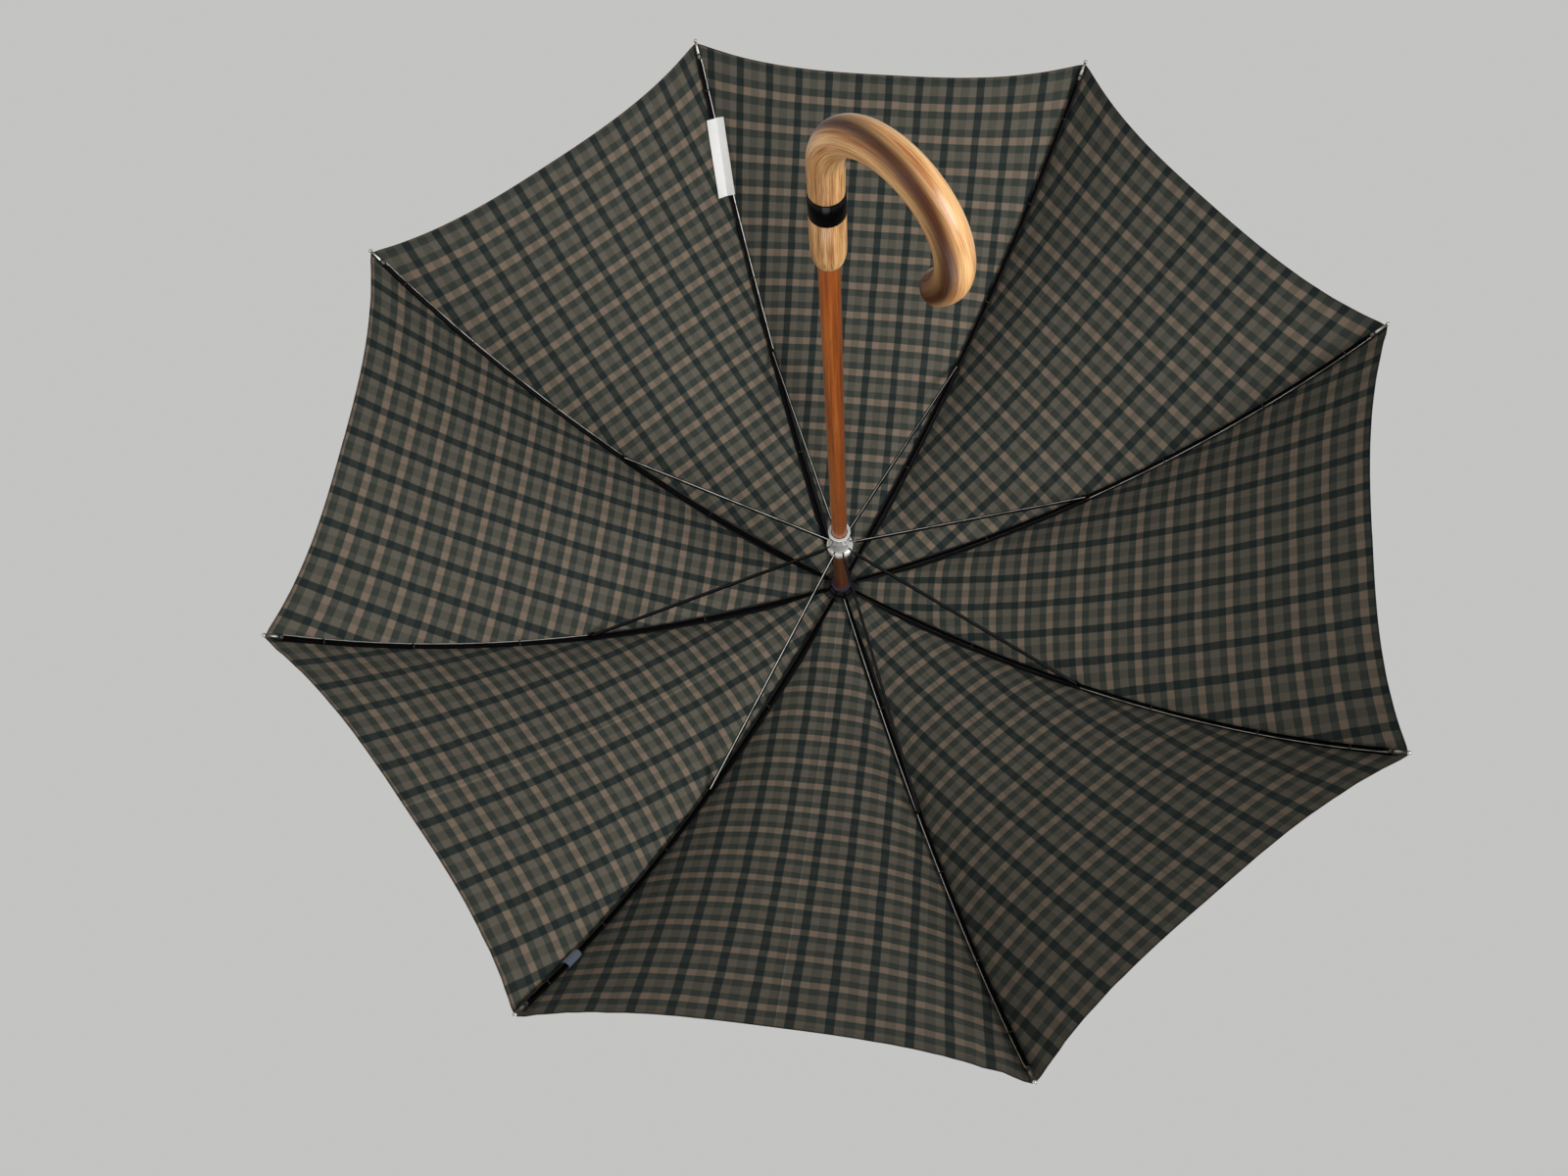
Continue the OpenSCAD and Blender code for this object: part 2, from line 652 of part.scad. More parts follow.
shaft();
crook_handle();
handle_band();
top_notch();
rosette();
crown_cap();
ferrule();
runner();
top_spring();
bottom_spring();
tie_strap();
care_label();
for (k = [1:RIBS]) {
    rib(k);
    rib_outer(k);
    rib_tip(k);
    joint_clip(k);
    stretcher(k);
    canopy_panel(k);
}
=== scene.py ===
"""Open stick umbrella, dressed for a render.

The frame gives every size and place. Cloth, turned parts and trim are modelled here and ride on its
bodies, and the frame's steel parts keep their shape and get a finish.
"""

from __future__ import annotations

import json
import logging
import math
from collections.abc import Callable, Iterable, Sequence
from dataclasses import dataclass, field
from enum import Enum

import bpy
from mathutils import Matrix, Vector, noise


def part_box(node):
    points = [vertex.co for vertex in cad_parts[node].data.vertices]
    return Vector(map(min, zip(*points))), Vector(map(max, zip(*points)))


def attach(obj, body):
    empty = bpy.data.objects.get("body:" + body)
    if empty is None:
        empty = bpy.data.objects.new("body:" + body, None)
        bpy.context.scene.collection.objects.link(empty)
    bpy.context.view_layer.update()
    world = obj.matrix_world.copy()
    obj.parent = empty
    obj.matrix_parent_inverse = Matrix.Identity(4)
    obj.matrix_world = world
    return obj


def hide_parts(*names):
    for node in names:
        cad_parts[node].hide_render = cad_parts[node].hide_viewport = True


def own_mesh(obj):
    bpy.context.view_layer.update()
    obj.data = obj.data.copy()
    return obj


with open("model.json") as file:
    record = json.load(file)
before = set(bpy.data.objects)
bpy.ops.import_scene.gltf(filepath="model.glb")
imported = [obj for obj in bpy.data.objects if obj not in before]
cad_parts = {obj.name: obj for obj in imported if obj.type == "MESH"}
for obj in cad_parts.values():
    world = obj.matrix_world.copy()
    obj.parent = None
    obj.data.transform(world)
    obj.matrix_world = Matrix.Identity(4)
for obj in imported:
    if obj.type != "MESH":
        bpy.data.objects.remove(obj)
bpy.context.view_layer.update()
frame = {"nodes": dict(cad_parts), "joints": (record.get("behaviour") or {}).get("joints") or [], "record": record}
log = logging.getLogger("umbrella")

RIBS = 8
GORE = 2 * math.pi / RIBS
HALF_GORE = GORE / 2
LABEL_RIB = 1
STRAP_RIB = 6
Point = tuple[float, float, float]
Outline = Sequence[tuple[float, float]]
Shape = Callable[[float, float], tuple[Point, tuple[float, float]]]

# How far the cloth's marks reach from the hem and from a creased middle line, in metres.
MARK_REACH = 0.04


class Role(Enum):
    """Which part of the umbrella a piece belongs to, for the log."""

    CLOTH = "cloth"
    FRAME = "frame"
    HANDLE = "handle"
    HUB = "hub"
    TRIM = "trim"


# ---------------------------------------------------------------- places taken from the frame


def joint(name: str) -> dict:
    """The frame's joint of that name."""
    return next(j for j in frame["joints"] if j["name"] == name)


def mount(name: str) -> dict:
    """The frame's mount of that name."""
    return next(m for m in frame["record"]["mounts"] if m["name"] == name)


@dataclass(frozen=True)
class RibCurve:
    """The arc that the middle of an open rib follows, as radius and height."""

    hinge_r: float = math.hypot(*joint("fold")["pos_m"][:2])
    hinge_z: float = joint("fold")["pos_m"][2]
    radius: float = 0.580
    rise: float = math.radians(1.1)
    lift: float = 0.0008
    length: float = 0.600
    width: float = 0.0042
    height: float = 0.0034

    def centre(self) -> tuple[float, float]:
        """Radius and height of the arc's centre."""
        return (
            self.hinge_r + self.radius * math.sin(self.rise),
            self.hinge_z + self.lift - self.radius * math.cos(self.rise),
        )

    def slope(self, s: float) -> float:
        """Angle below the horizontal at a distance along the rib."""
        return s / self.radius - self.rise

    def at(self, s: float, out: float = 0.0) -> tuple[float, float]:
        """Radius and height of a point beside the rib.

        Args:
            s: Distance along the rib from its hinge.
            out: Distance from the rib's middle, outward.

        Returns:
            The point's distance from the shaft's axis, and its height.
        """
        centre_r, centre_z = self.centre()
        angle = self.slope(s)
        reach = self.radius + out
        return centre_r + reach * math.sin(angle), centre_z + reach * math.cos(angle)

    def place(self, k: int, s: float, side: float = 0.0, out: float = 0.0) -> Point:
        """A point beside rib k, in the frame's axes.

        Args:
            k: The rib, from 1.
            s: Distance along the rib.
            side: Distance to the rib's side, counter-clockwise.
            out: Distance outward from the rib's middle.

        Returns:
            The point.
        """
        r, z = self.at(s, out)
        return turned_about_z((r, side, z), (k - 1) * GORE)

    def matrix(self, k: int, s: float) -> Matrix:
        """Axes of rib k at s: X runs along the rib, Y to its side and Z outward."""
        about_z = Matrix.Rotation((k - 1) * GORE, 4, "Z")
        r, z = self.at(s)
        return about_z @ Matrix.Translation((r, 0, z)) @ Matrix.Rotation(self.slope(s), 4, "Y")


def turned_about_z(p: Sequence[float], angle: float) -> Point:
    """A point turned about the shaft's axis."""
    c, s = math.cos(angle), math.sin(angle)
    return p[0] * c - p[1] * s, p[0] * s + p[1] * c, p[2]


def rib_body(k: int, outer: bool) -> str:
    """The frame's body of the inner or outer part of rib k."""
    return f"rib_outer_{k}" if outer else f"rib_{k}"


def gore_beside(k: int, side: int) -> int:
    """The gore, from 0, that lies on one side of rib k."""
    return (k - 1 if side > 0 else k - 2) % RIBS


@dataclass(frozen=True)
class CrookPath:
    """The line that the crook's middle follows: down the shank, round the bend, into the nose."""

    bend_r: float = 0.051
    nose_r: float = 0.040
    nose_curl: float = math.radians(40)
    turn: float = math.radians(152)
    bend_z: float = mount("crook_hook")["pos_m"][2]

    @property
    def nose_x(self) -> float:
        """Distance from the shank to the centre of the nose's arc."""
        return 2 * self.bend_r - self.nose_r


CROOK = CrookPath()
RIB = RibCurve()
# Turns a shape that stands along Z so that it lies along a rib.
LYING = Matrix.Rotation(math.pi / 2, 4, "Y")
FLEX_S = (
    math.asin(
        (
            math.hypot(*joint("rib_outer_1_flex")["pos_m"][:2])
            - RIB.hinge_r
            - RIB.radius * math.sin(RIB.rise)
        )
        / (RIB.radius + RIB.height / 2)
    )
    + RIB.rise
) * RIB.radius


def closed_radius(s: float) -> float:
    """Distance from the shaft's axis to the cloth over a rib when the umbrella is closed.

    Args:
        s: Distance along the rib from its hinge.

    Returns:
        The distance, from the limits of the rib's two joints.
    """
    fold, flex = joint("fold"), joint("rib_outer_1_flex")
    r, z = RIB.at(s, 0.004)
    pivots = [(RIB.hinge_r, RIB.hinge_z, max(abs(limit) for limit in fold["range_deg"]))]
    if s > FLEX_S:
        flex_r, flex_z = math.hypot(*flex["pos_m"][:2]), flex["pos_m"][2]
        pivots.insert(0, (flex_r, flex_z, -max(abs(limit) for limit in flex["range_deg"])))
    for pivot_r, pivot_z, degrees in pivots:
        turn = math.radians(degrees)
        out, up = r - pivot_r, z - pivot_z
        r = pivot_r + out * math.cos(turn) + up * math.sin(turn)
        z = pivot_z - out * math.sin(turn) + up * math.cos(turn)
    return r


# ---------------------------------------------------------------- modelling helpers


def deselect() -> None:
    """Leaves object mode with nothing selected."""
    if bpy.context.object and bpy.context.object.mode != "OBJECT":
        bpy.ops.object.mode_set(mode="OBJECT")
    bpy.ops.object.select_all(action="DESELECT")


def activate(obj: bpy.types.Object) -> None:
    """Selects one object alone and makes it active."""
    deselect()
    obj.select_set(True)
    bpy.context.view_layer.objects.active = obj


def settle(obj: bpy.types.Object, place: Matrix | None = None) -> bpy.types.Object:
    """Puts an object's place into its mesh.

    Args:
        obj: The object.
        place: Where it goes, or None to keep it.

    Returns:
        The object, at the origin, unturned and unscaled.
    """
    activate(obj)
    if place is not None:
        obj.matrix_world = place @ obj.matrix_world
        bpy.context.view_layer.update()
    bpy.ops.object.transform_apply(location=True, rotation=True, scale=True)
    return obj


def modify(obj: bpy.types.Object, kind: str, **settings: object) -> None:
    """Adds a modifier and applies it."""
    activate(obj)
    modifier = obj.modifiers.new(kind.title(), kind)
    for name, value in settings.items():
        setattr(modifier, name, value)
    bpy.ops.object.modifier_apply(modifier=modifier.name)


def smooth(obj: bpy.types.Object, degrees: float = 35.0) -> None:
    """Shades an object smooth, with its sharper edges kept."""
    activate(obj)
    bpy.ops.object.shade_smooth_by_angle(angle=math.radians(degrees))


def bevel(obj: bpy.types.Object, width: float, degrees: float) -> None:
    """Rounds the edges that are sharper than an angle."""
    limit = math.radians(degrees)
    modify(obj, "BEVEL", width=width, segments=2, limit_method="ANGLE", angle_limit=limit)


def stretch(obj: bpy.types.Object, scale: Point, cuts: int = 0) -> None:
    """Scales an object's mesh about the origin.

    Args:
        obj: The object.
        scale: Scale along each axis.
        cuts: How often its faces are cut first.
    """
    activate(obj)
    bpy.ops.object.mode_set(mode="EDIT")
    bpy.ops.mesh.select_all(action="SELECT")
    if cuts:
        bpy.ops.mesh.subdivide(number_cuts=cuts)
    bpy.ops.transform.resize(value=scale, center_override=(0, 0, 0))
    bpy.ops.object.mode_set(mode="OBJECT")


def ring(radius: float, z: float, segments: int) -> None:
    """Adds a circle about the Z axis and enters edit mode with it selected."""
    deselect()
    bpy.ops.mesh.primitive_circle_add(vertices=segments, radius=radius, location=(0, 0, z))
    bpy.ops.object.transform_apply(location=True)
    bpy.ops.object.mode_set(mode="EDIT")
    bpy.ops.mesh.select_all(action="SELECT")


def extrude_ring(from_r: float, to_r: float, rise: float) -> None:
    """Draws the selected circle out to a new radius and height."""
    bpy.ops.mesh.extrude_region_move(TRANSFORM_OT_translate={"value": (0, 0, rise)})
    scale = to_r / from_r
    bpy.ops.transform.resize(value=(scale, scale, 1), center_override=(0, 0, 0))


def turned(
    name: str, outline: Outline, segments: int = 48, closed: bool = False
) -> bpy.types.Object:
    """A shape turned about the Z axis.

    Args:
        name: The piece's name.
        outline: Radius and height of each ring, in order.
        segments: Faces round the axis.
        closed: Whether the outline joins up to its start, as a tube's wall does.

    Returns:
        The new object, closed at both ends where it isn't a tube.
    """
    points = [*outline, outline[0]] if closed else list(outline)
    ring(*points[0], segments)
    if not closed:
        bpy.ops.mesh.edge_face_add()
        bpy.ops.mesh.select_all(action="SELECT")
    for (r0, z0), (r1, z1) in zip(points, points[1:]):
        extrude_ring(r0, r1, z1 - z0)
    if closed:
        bpy.ops.mesh.select_all(action="SELECT")
        bpy.ops.mesh.remove_doubles(threshold=1e-6)
    bpy.ops.mesh.select_all(action="SELECT")
    bpy.ops.mesh.normals_make_consistent(inside=False)
    bpy.ops.object.mode_set(mode="OBJECT")
    obj = bpy.context.object
    obj.name = name
    return obj


def arc(
    centre: tuple[float, float], radius: float, start: float, end: float, steps: int
) -> list[tuple[float, float]]:
    """Points of a round stretch of an outline, with its angles in degrees."""
    angles = [math.radians(start + (end - start) * i / steps) for i in range(steps + 1)]
    return [(centre[0] + radius * math.cos(a), centre[1] + radius * math.sin(a)) for a in angles]


def copy_of(obj: bpy.types.Object, name: str) -> bpy.types.Object:
    """A copy with a mesh of its own."""
    twin = obj.copy()
    twin.data = obj.data.copy()
    twin.name = name
    bpy.context.scene.collection.objects.link(twin)
    return twin


def join(name: str, parts: Iterable[bpy.types.Object]) -> bpy.types.Object:
    """Joins objects into one."""
    parts = list(parts)
    activate(parts[0])
    for part in parts:
        part.select_set(True)
    bpy.ops.object.join()
    obj = bpy.context.object
    obj.name = name
    return obj


def cut(obj: bpy.types.Object, cutter: bpy.types.Object) -> None:
    """Takes a cutter's shape out of an object, and removes the cutter."""
    modify(obj, "BOOLEAN", operation="DIFFERENCE", object=cutter, solver="EXACT")
    bpy.data.objects.remove(cutter)


def grid_sheet(name: str, columns: int, rows: int, shape: Shape) -> bpy.types.Object:
    """A sheet of cloth shaped by a formula.

    Args:
        name: The piece's name.
        columns: Faces across.
        rows: Faces along.
        shape: Gives the place and the UV of a point, from its share across and along.

    Returns:
        The new object, one face thick.
    """
    deselect()
    bpy.ops.mesh.primitive_grid_add(x_subdivisions=columns, y_subdivisions=rows, size=1)
    obj = bpy.context.object
    obj.name = name
    mesh = obj.data
    shares = [(v.co.x + 0.5, v.co.y + 0.5) for v in mesh.vertices]
    placed = [shape(across, along) for across, along in shares]
    for vertex, (point, _) in zip(mesh.vertices, placed):
        vertex.co = point
    layer = mesh.uv_layers.active.data
    for loop in mesh.loops:
        layer[loop.index].uv = placed[loop.vertex_index][1]
    return obj


def mark_sheet(
    obj: bpy.types.Object, columns: int, rows: int, marks: Callable[[float, float], Point]
) -> None:
    """Stores three values at each point of a sheet, for its finish.

    Args:
        obj: The sheet, just made by grid_sheet.
        columns: Faces across.
        rows: Faces along.
        marks: Gives the values of a point, from its share across and along.
    """
    layer = obj.data.attributes.new("marks", "FLOAT_VECTOR", "POINT")
    for index, item in enumerate(layer.data):
        item.vector = marks((index % (columns + 1)) / columns, (index // (columns + 1)) / rows)


def coat(obj: bpy.types.Object, material: bpy.types.Material) -> None:
    """Gives an object one finish."""
    obj.data.materials.clear()
    obj.data.materials.append(material)


def finish_piece(
    obj: bpy.types.Object,
    body: str,
    material: bpy.types.Material,
    role: Role,
    replaces: Sequence[str] = (),
) -> bpy.types.Object:
    """Gives a piece its finish, and ties it to the frame.

    Args:
        obj: The piece, in its place.
        body: The frame's body that it rides on.
        material: Its finish.
        role: The part of the umbrella that it belongs to.
        replaces: The frame's nodes that it stands for.

    Returns:
        The piece.
    """
    coat(obj, material)
    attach(obj, body)
    if replaces:
        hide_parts(*replaces)
    log.info("%s: %s on %s, %d faces", role.value, obj.name, body, len(obj.data.polygons))
    return obj


@dataclass(frozen=True)
class ThreadLoop:
    """A loop of sewing thread round a rib."""

    radius: float
    thread_r: float
    scale: Point
    segments: int

    def add(self, name: str, k: int, s: float, material: bpy.types.Material) -> None:
        """Adds one loop.

        Args:
            name: The piece's name.
            k: The rib, from 1.
            s: Distance along the rib.
            material: The thread's finish.
        """
        deselect()
        bpy.ops.mesh.primitive_torus_add(
            major_segments=self.segments,
            minor_segments=6,
            major_radius=self.radius,
            minor_radius=self.thread_r,
        )
        loop = bpy.context.object
        loop.name = name
        stretch(loop, self.scale)
        settle(loop, RIB.matrix(k, s) @ LYING)
        smooth(loop, 60)
        finish_piece(loop, rib_body(k, s > FLEX_S), material, Role.TRIM)


# ---------------------------------------------------------------- shader helpers


class Value:
    """A shader socket that takes part in Python arithmetic."""

    def __init__(self, shader: Shader, socket: bpy.types.NodeSocket) -> None:
        """Wraps an output socket of a shader's node."""
        self.shader = shader
        self.socket = socket

    def _math(self, operation: str, first: Operand, second: Operand) -> Value:
        """A Math node on two operands."""
        return self.shader.node(
            "ShaderNodeMath", {"operation": operation}, {0: first, 1: second}
        )

    def __add__(self, other: Operand) -> Value:
        """Sum."""
        return self._math("ADD", self, other)

    __radd__ = __add__

    def __sub__(self, other: Operand) -> Value:
        """Difference."""
        return self._math("SUBTRACT", self, other)

    def __rsub__(self, other: Operand) -> Value:
        """Difference, reflected."""
        return self._math("SUBTRACT", other, self)

    def __mul__(self, other: Operand) -> Value:
        """Product."""
        return self._math("MULTIPLY", self, other)

    __rmul__ = __mul__

    def __truediv__(self, other: Operand) -> Value:
        """Quotient."""
        return self._math("DIVIDE", self, other)

    def __gt__(self, other: Operand) -> Value:
        """1 where this is greater."""
        return self._math("GREATER_THAN", self, other)

    def __lt__(self, other: Operand) -> Value:
        """1 where this is less."""
        return self._math("LESS_THAN", self, other)

    def fold(self, period: float) -> Value:
        """Distance from the nearest multiple of a period."""
        return self._math("PINGPONG", self, period / 2)

    def angle_to(self, other: Operand) -> Value:
        """Arc tangent of this over the other."""
        return self._math("ARCTAN2", self, other)

    def sine(self) -> Value:
        """Sine of an angle."""
        return self._math("SINE", self, 0)

    def length_with(self, other: Value) -> Value:
        """Length of the hypotenuse."""
        return self._math("SQRT", self * self + other * other, 0)

    def magnitude(self) -> Value:
        """Absolute value."""
        return self._math("ABSOLUTE", self, 0)

    def step(self, edge: float, softness: float) -> Value:
        """0 below an edge and 1 above it, with a soft change."""
        return self.shader.node(
            "ShaderNodeMapRange",
            {"interpolation_type": "SMOOTHSTEP"},
            {"Value": self, "From Min": edge - softness, "From Max": edge + softness},
        )


Operand = Value | float


class Shader:
    """A finish under construction: its material, nodes and Principled shader."""

    def __init__(self, name: str) -> None:
        """Starts an empty material with a Principled shader."""
        self.material = bpy.data.materials.new(name)
        self.material.use_nodes = True
        self.tree = self.material.node_tree
        self.tree.nodes.clear()
        self.output = self.tree.nodes.new("ShaderNodeOutputMaterial")
        self.principled = self.tree.nodes.new("ShaderNodeBsdfPrincipled")
        self.tree.links.new(self.principled.outputs[0], self.output.inputs[0])

    def node(
        self,
        kind: str,
        settings: dict[str, object] | None = None,
        inputs: dict[str | int, object] | None = None,
        outlet: str | int = 0,
    ) -> Value:
        """Adds a node.

        Args:
            kind: The node's type.
            settings: Its properties, and "stops" for a colour ramp.
            inputs: Values or links of its sockets.
            outlet: The output that is used.

        Returns:
            The output.
        """
        node = self.tree.nodes.new(kind)
        for name, value in (settings or {}).items():
            if name == "stops":
                self._stops(node.color_ramp, value)
            else:
                setattr(node, name, value)
        for key, value in (inputs or {}).items():
            self.connect(node.inputs[key], value)
        return Value(self, node.outputs[outlet])

    @staticmethod
    def _stops(ramp: bpy.types.ColorRamp, stops: Sequence[tuple[float, Sequence[float]]]) -> None:
        """Sets a ramp's stops."""
        while len(ramp.elements) < len(stops):
            ramp.elements.new(0.5)
        for element, (position, colour) in zip(ramp.elements, stops):
            element.position = position
            element.color = (*colour, 1)

    def connect(self, socket: bpy.types.NodeSocket, value: object) -> None:
        """Links a socket to a value's socket, or sets its number or colour."""
        if isinstance(value, Value):
            self.tree.links.new(value.socket, socket)
        elif isinstance(value, tuple) and len(value) == 3 and len(socket.default_value) == 4:
            socket.default_value = (*value, 1)
        else:
            socket.default_value = value

    def surface(self, **inputs: object) -> None:
        """Sets sockets of the Principled shader, with _ for a space in their names."""
        for key, value in inputs.items():
            self.connect(self.principled.inputs[key.replace("_", " ")], value)

    def coordinates(self, source: str = "Object") -> Value:
        """Texture coordinates: Object or UV."""
        return self.node("ShaderNodeTexCoord", outlet=source)

    def attribute(self, name: str) -> Value:
        """The three values that a mesh stores under a name."""
        return self.node("ShaderNodeAttribute", {"attribute_name": name}, {}, "Vector")

    def split(self, vector: Value) -> tuple[Value, Value, Value]:
        """The three parts of a vector."""
        x = self.node("ShaderNodeSeparateXYZ", inputs={0: vector})
        outputs = x.socket.node.outputs
        return tuple(Value(self, outputs[i]) for i in range(3))

    def vector(self, x: Operand, y: Operand, z: Operand) -> Value:
        """A vector of three numbers."""
        return self.node("ShaderNodeCombineXYZ", inputs={0: x, 1: y, 2: z})

    def noise(self, vector: Value, scale: float, detail: float = 3.0, rough: float = 0.5) -> Value:
        """Smooth noise from 0 to 1."""
        return self.node(
            "ShaderNodeTexNoise",
            inputs={"Vector": vector, "Scale": scale, "Detail": detail, "Roughness": rough},
        )

    def mix(self, factor: Operand, first: object, second: object) -> Value:
        """A mix of two colours."""
        return self.node(
            "ShaderNodeMix",
            {"data_type": "RGBA"},
            {0: factor, 6: first, 7: second},
            outlet=2,
        )

    def shade(self, colour: object, amount: Operand) -> Value:
        """A colour multiplied by a number."""
        return self.node("ShaderNodeVectorMath", {"operation": "SCALE"}, {0: colour, 3: amount})

    def bump(self, height: Value, distance: float, strength: float = 1.0) -> None:
        """Feeds a height into the Principled shader's normal."""
        self.surface(
            Normal=self.node(
                "ShaderNodeBump",
                inputs={"Strength": strength, "Distance": distance, "Height": height},
            )
        )


def srgb(red: int, green: int, blue: int) -> tuple[float, float, float]:
    """A colour written in screen values, as the shader wants it."""

    def linear(value: int) -> float:
        """One channel."""
        share = value / 255
        return share / 12.92 if share <= 0.04045 else ((share + 0.055) / 1.055) ** 2.4

    return linear(red), linear(green), linear(blue)


Colour = tuple[float, float, float]
Rows = tuple[Colour, Colour, Colour]


# ---------------------------------------------------------------- finishes


@dataclass(frozen=True)
class CheckCloth:
    """Twill check: dark stripes down the gore, and tan and dark stripes across it."""

    name: str = "check_cloth"
    warp_period: float = 0.0309
    weft_period: float = 0.0307
    dark_warp: Rows = (srgb(63, 65, 57), srgb(27, 36, 36), srgb(43, 48, 44))
    pale_warp: Rows = (srgb(119, 104, 90), srgb(66, 68, 61), srgb(93, 88, 78))
    mid_warp: Rows = (srgb(100, 91, 79), srgb(50, 55, 50), srgb(78, 76, 67))
    brightness: float = 0.95

    def build(self) -> bpy.types.Material:
        """Builds the finish from the piece's UV map, in metres, and from its marks.

        Returns:
            The material.
        """
        sh = Shader(self.name)
        uv = sh.coordinates("UV")
        to_hem, to_crease, pucker = sh.split(sh.attribute("marks"))
        waver = sh.noise(uv, 30, 2) - 0.5
        x, y, _ = sh.split(uv)
        from_dark = (x + waver * 0.0020).fold(self.warp_period)
        from_tan = (y + waver * 0.0016).fold(self.weft_period)
        edge = 0.0005
        pale = from_dark.step(0.0038, edge)
        middle = from_dark.step(0.0112, edge)
        dark_row = from_tan.step(0.0036, edge)
        plain_row = from_tan.step(0.0108, edge)

        def row(colours: Rows) -> Value:
            """Colour across the tan, dark and plain rows of one warp stripe."""
            return sh.mix(plain_row, sh.mix(dark_row, colours[0], colours[1]), colours[2])

        outer = sh.mix(pale, row(self.dark_warp), row(self.pale_warp))
        colour = sh.mix(middle, outer, row(self.mid_warp))
        fibre = sh.noise(sh.vector(x * 900, y * 160, 0), 1, 2)
        cross = sh.noise(sh.vector(x * 160, y * 900, 5), 1, 2)
        slub = sh.noise(uv, 14, 2)
        tone = 0.72 + fibre * 0.22 + cross * 0.22 + slub * 0.12
        hem = to_hem.step(1 - 0.0055 / MARK_REACH, 0.0002 / MARK_REACH)
        lip = to_hem.step(1 - 0.0013 / MARK_REACH, 0.0006 / MARK_REACH)
        crease = to_crease.step(1 - 0.0009 / MARK_REACH, 0.0006 / MARK_REACH)
        tone = tone * self.brightness * (1 - hem * 0.10) * (1 - lip * 0.55) * (1 + crease * 0.28)
        sh.surface(
            Base_Color=sh.shade(colour, tone),
            Roughness=0.78,
            Sheen_Weight=0.03,
            Sheen_Roughness=0.5,
            Specular_IOR_Level=0.15,
        )
        weave = (x.fold(0.0007) + y.fold(0.0007)) * 900
        folds = sh.noise(sh.vector(x * 34, y * 60, 3), 1, 2) * 22
        broad = sh.noise(sh.vector(x * 16, y * 9, 7), 1, 2) * 10
        height = weave * 0.5 + fibre * 0.4 + hem * 1.2 + crease * 3
        sh.bump(height + folds * pucker + broad, 0.00012, 0.7)
        return sh.material


@dataclass(frozen=True)
class PlainCloth:
    """Dark cloth or ribbon of one colour, with a fine weave."""

    name: str
    colour: Colour
    roughness: float = 0.75
    sheen: float = 0.2
    weave: float = 0.0008
    mottle: float = 0.25

    def build(self) -> bpy.types.Material:
        """Builds the finish from Object coordinates.

        Returns:
            The material.
        """
        sh = Shader(self.name)
        place = sh.coordinates()
        x, y, z = sh.split(place)
        cloud = sh.noise(place, 160, 3)
        threads = x.fold(self.weave) + y.fold(self.weave) + z.fold(self.weave)
        sh.surface(
            Base_Color=sh.shade(self.colour, (1 - self.mottle / 2) + cloud * self.mottle),
            Roughness=self.roughness,
            Sheen_Weight=self.sheen,
            Sheen_Roughness=0.4,
            Specular_IOR_Level=0.3,
        )
        sh.bump(threads * (1 / self.weave) * 0.4 + cloud, 0.0001, 0.5)
        return sh.material


@dataclass(frozen=True)
class CrookWood:
    """Honey-blond wood whose grain follows the crook's bend."""

    name: str = "crook_wood"
    pale: Colour = srgb(234, 186, 126)
    brown: Colour = srgb(176, 114, 64)
    streak: Colour = srgb(84, 46, 24)
    heart: Colour = srgb(62, 29, 11)

    def build(self) -> bpy.types.Material:
        """Builds the finish: the grain runs along the shank, round the bend and into the nose.

        Returns:
            The material.
        """
        sh = Shader(self.name)
        x, y, z = sh.split(sh.coordinates())
        across = x * math.cos(CROOK.turn) + y * math.sin(CROOK.turn)
        side = y * math.cos(CROOK.turn) - x * math.sin(CROOK.turn)
        drop = z - CROOK.bend_z
        from_bend = across - CROOK.bend_r
        bend_along = (0 - drop).angle_to(0 - from_bend) * CROOK.bend_r
        bend_out = from_bend.length_with(drop) - CROOK.bend_r
        from_nose = across - CROOK.nose_x
        nose_along = drop.angle_to(from_nose) * CROOK.nose_r + math.pi * CROOK.bend_r
        nose_out = from_nose.length_with(drop) - CROOK.nose_r
        above = drop > 0
        far = from_bend > 0
        in_nose = above * far
        in_shank = above * (1 - far)
        in_bend = 1 - above
        along = in_bend * bend_along + in_nose * nose_along + in_shank * (0 - drop)
        out = in_bend * bend_out + in_nose * nose_out + in_shank * (0 - across)
        grain = sh.vector(out * 1000, side * 1000, along * 42)
        wander = sh.noise(sh.vector(out * 60, side * 60, along * 14), 1, 2)
        fine = sh.noise(grain, 0.9, 4, 0.62)
        broad = sh.noise(sh.vector(out * 190, side * 190, along * 16), 1, 3)
        ticks = sh.noise(sh.vector(out * 1100, side * 1100, along * 30), 1, 3)
        from_heart = side - out * 0.55 + (wander - 0.5) * 0.006 + 0.0070 - along * 0.095
        flank = 1 - from_heart.magnitude().step(0.0050, 0.0044)
        tone = sh.node(
            "ShaderNodeValToRGB",
            {
                "stops": [
                    (0.28, self.streak),
                    (0.45, self.brown),
                    (0.62, self.pale),
                    (0.85, self.pale),
                ]
            },
            {0: fine * 0.45 + broad * 0.45 + 0.10},
        )
        colour = sh.mix(flank * (0.72 + fine * 0.5) * (1 - in_shank), tone, self.heart)
        colour = sh.mix((1 - ticks.step(0.42, 0.07)) * (0.32 + in_shank * 0.2), colour, self.streak)
        sh.surface(
            Base_Color=colour,
            Roughness=0.34 + fine * 0.12,
            Coat_Weight=0.5 - flank * 0.48,
            Coat_Roughness=0.24,
            Specular_IOR_Level=0.22,
        )
        sh.bump(fine + ticks * 0.6, 0.00015, 0.35)
        return sh.material


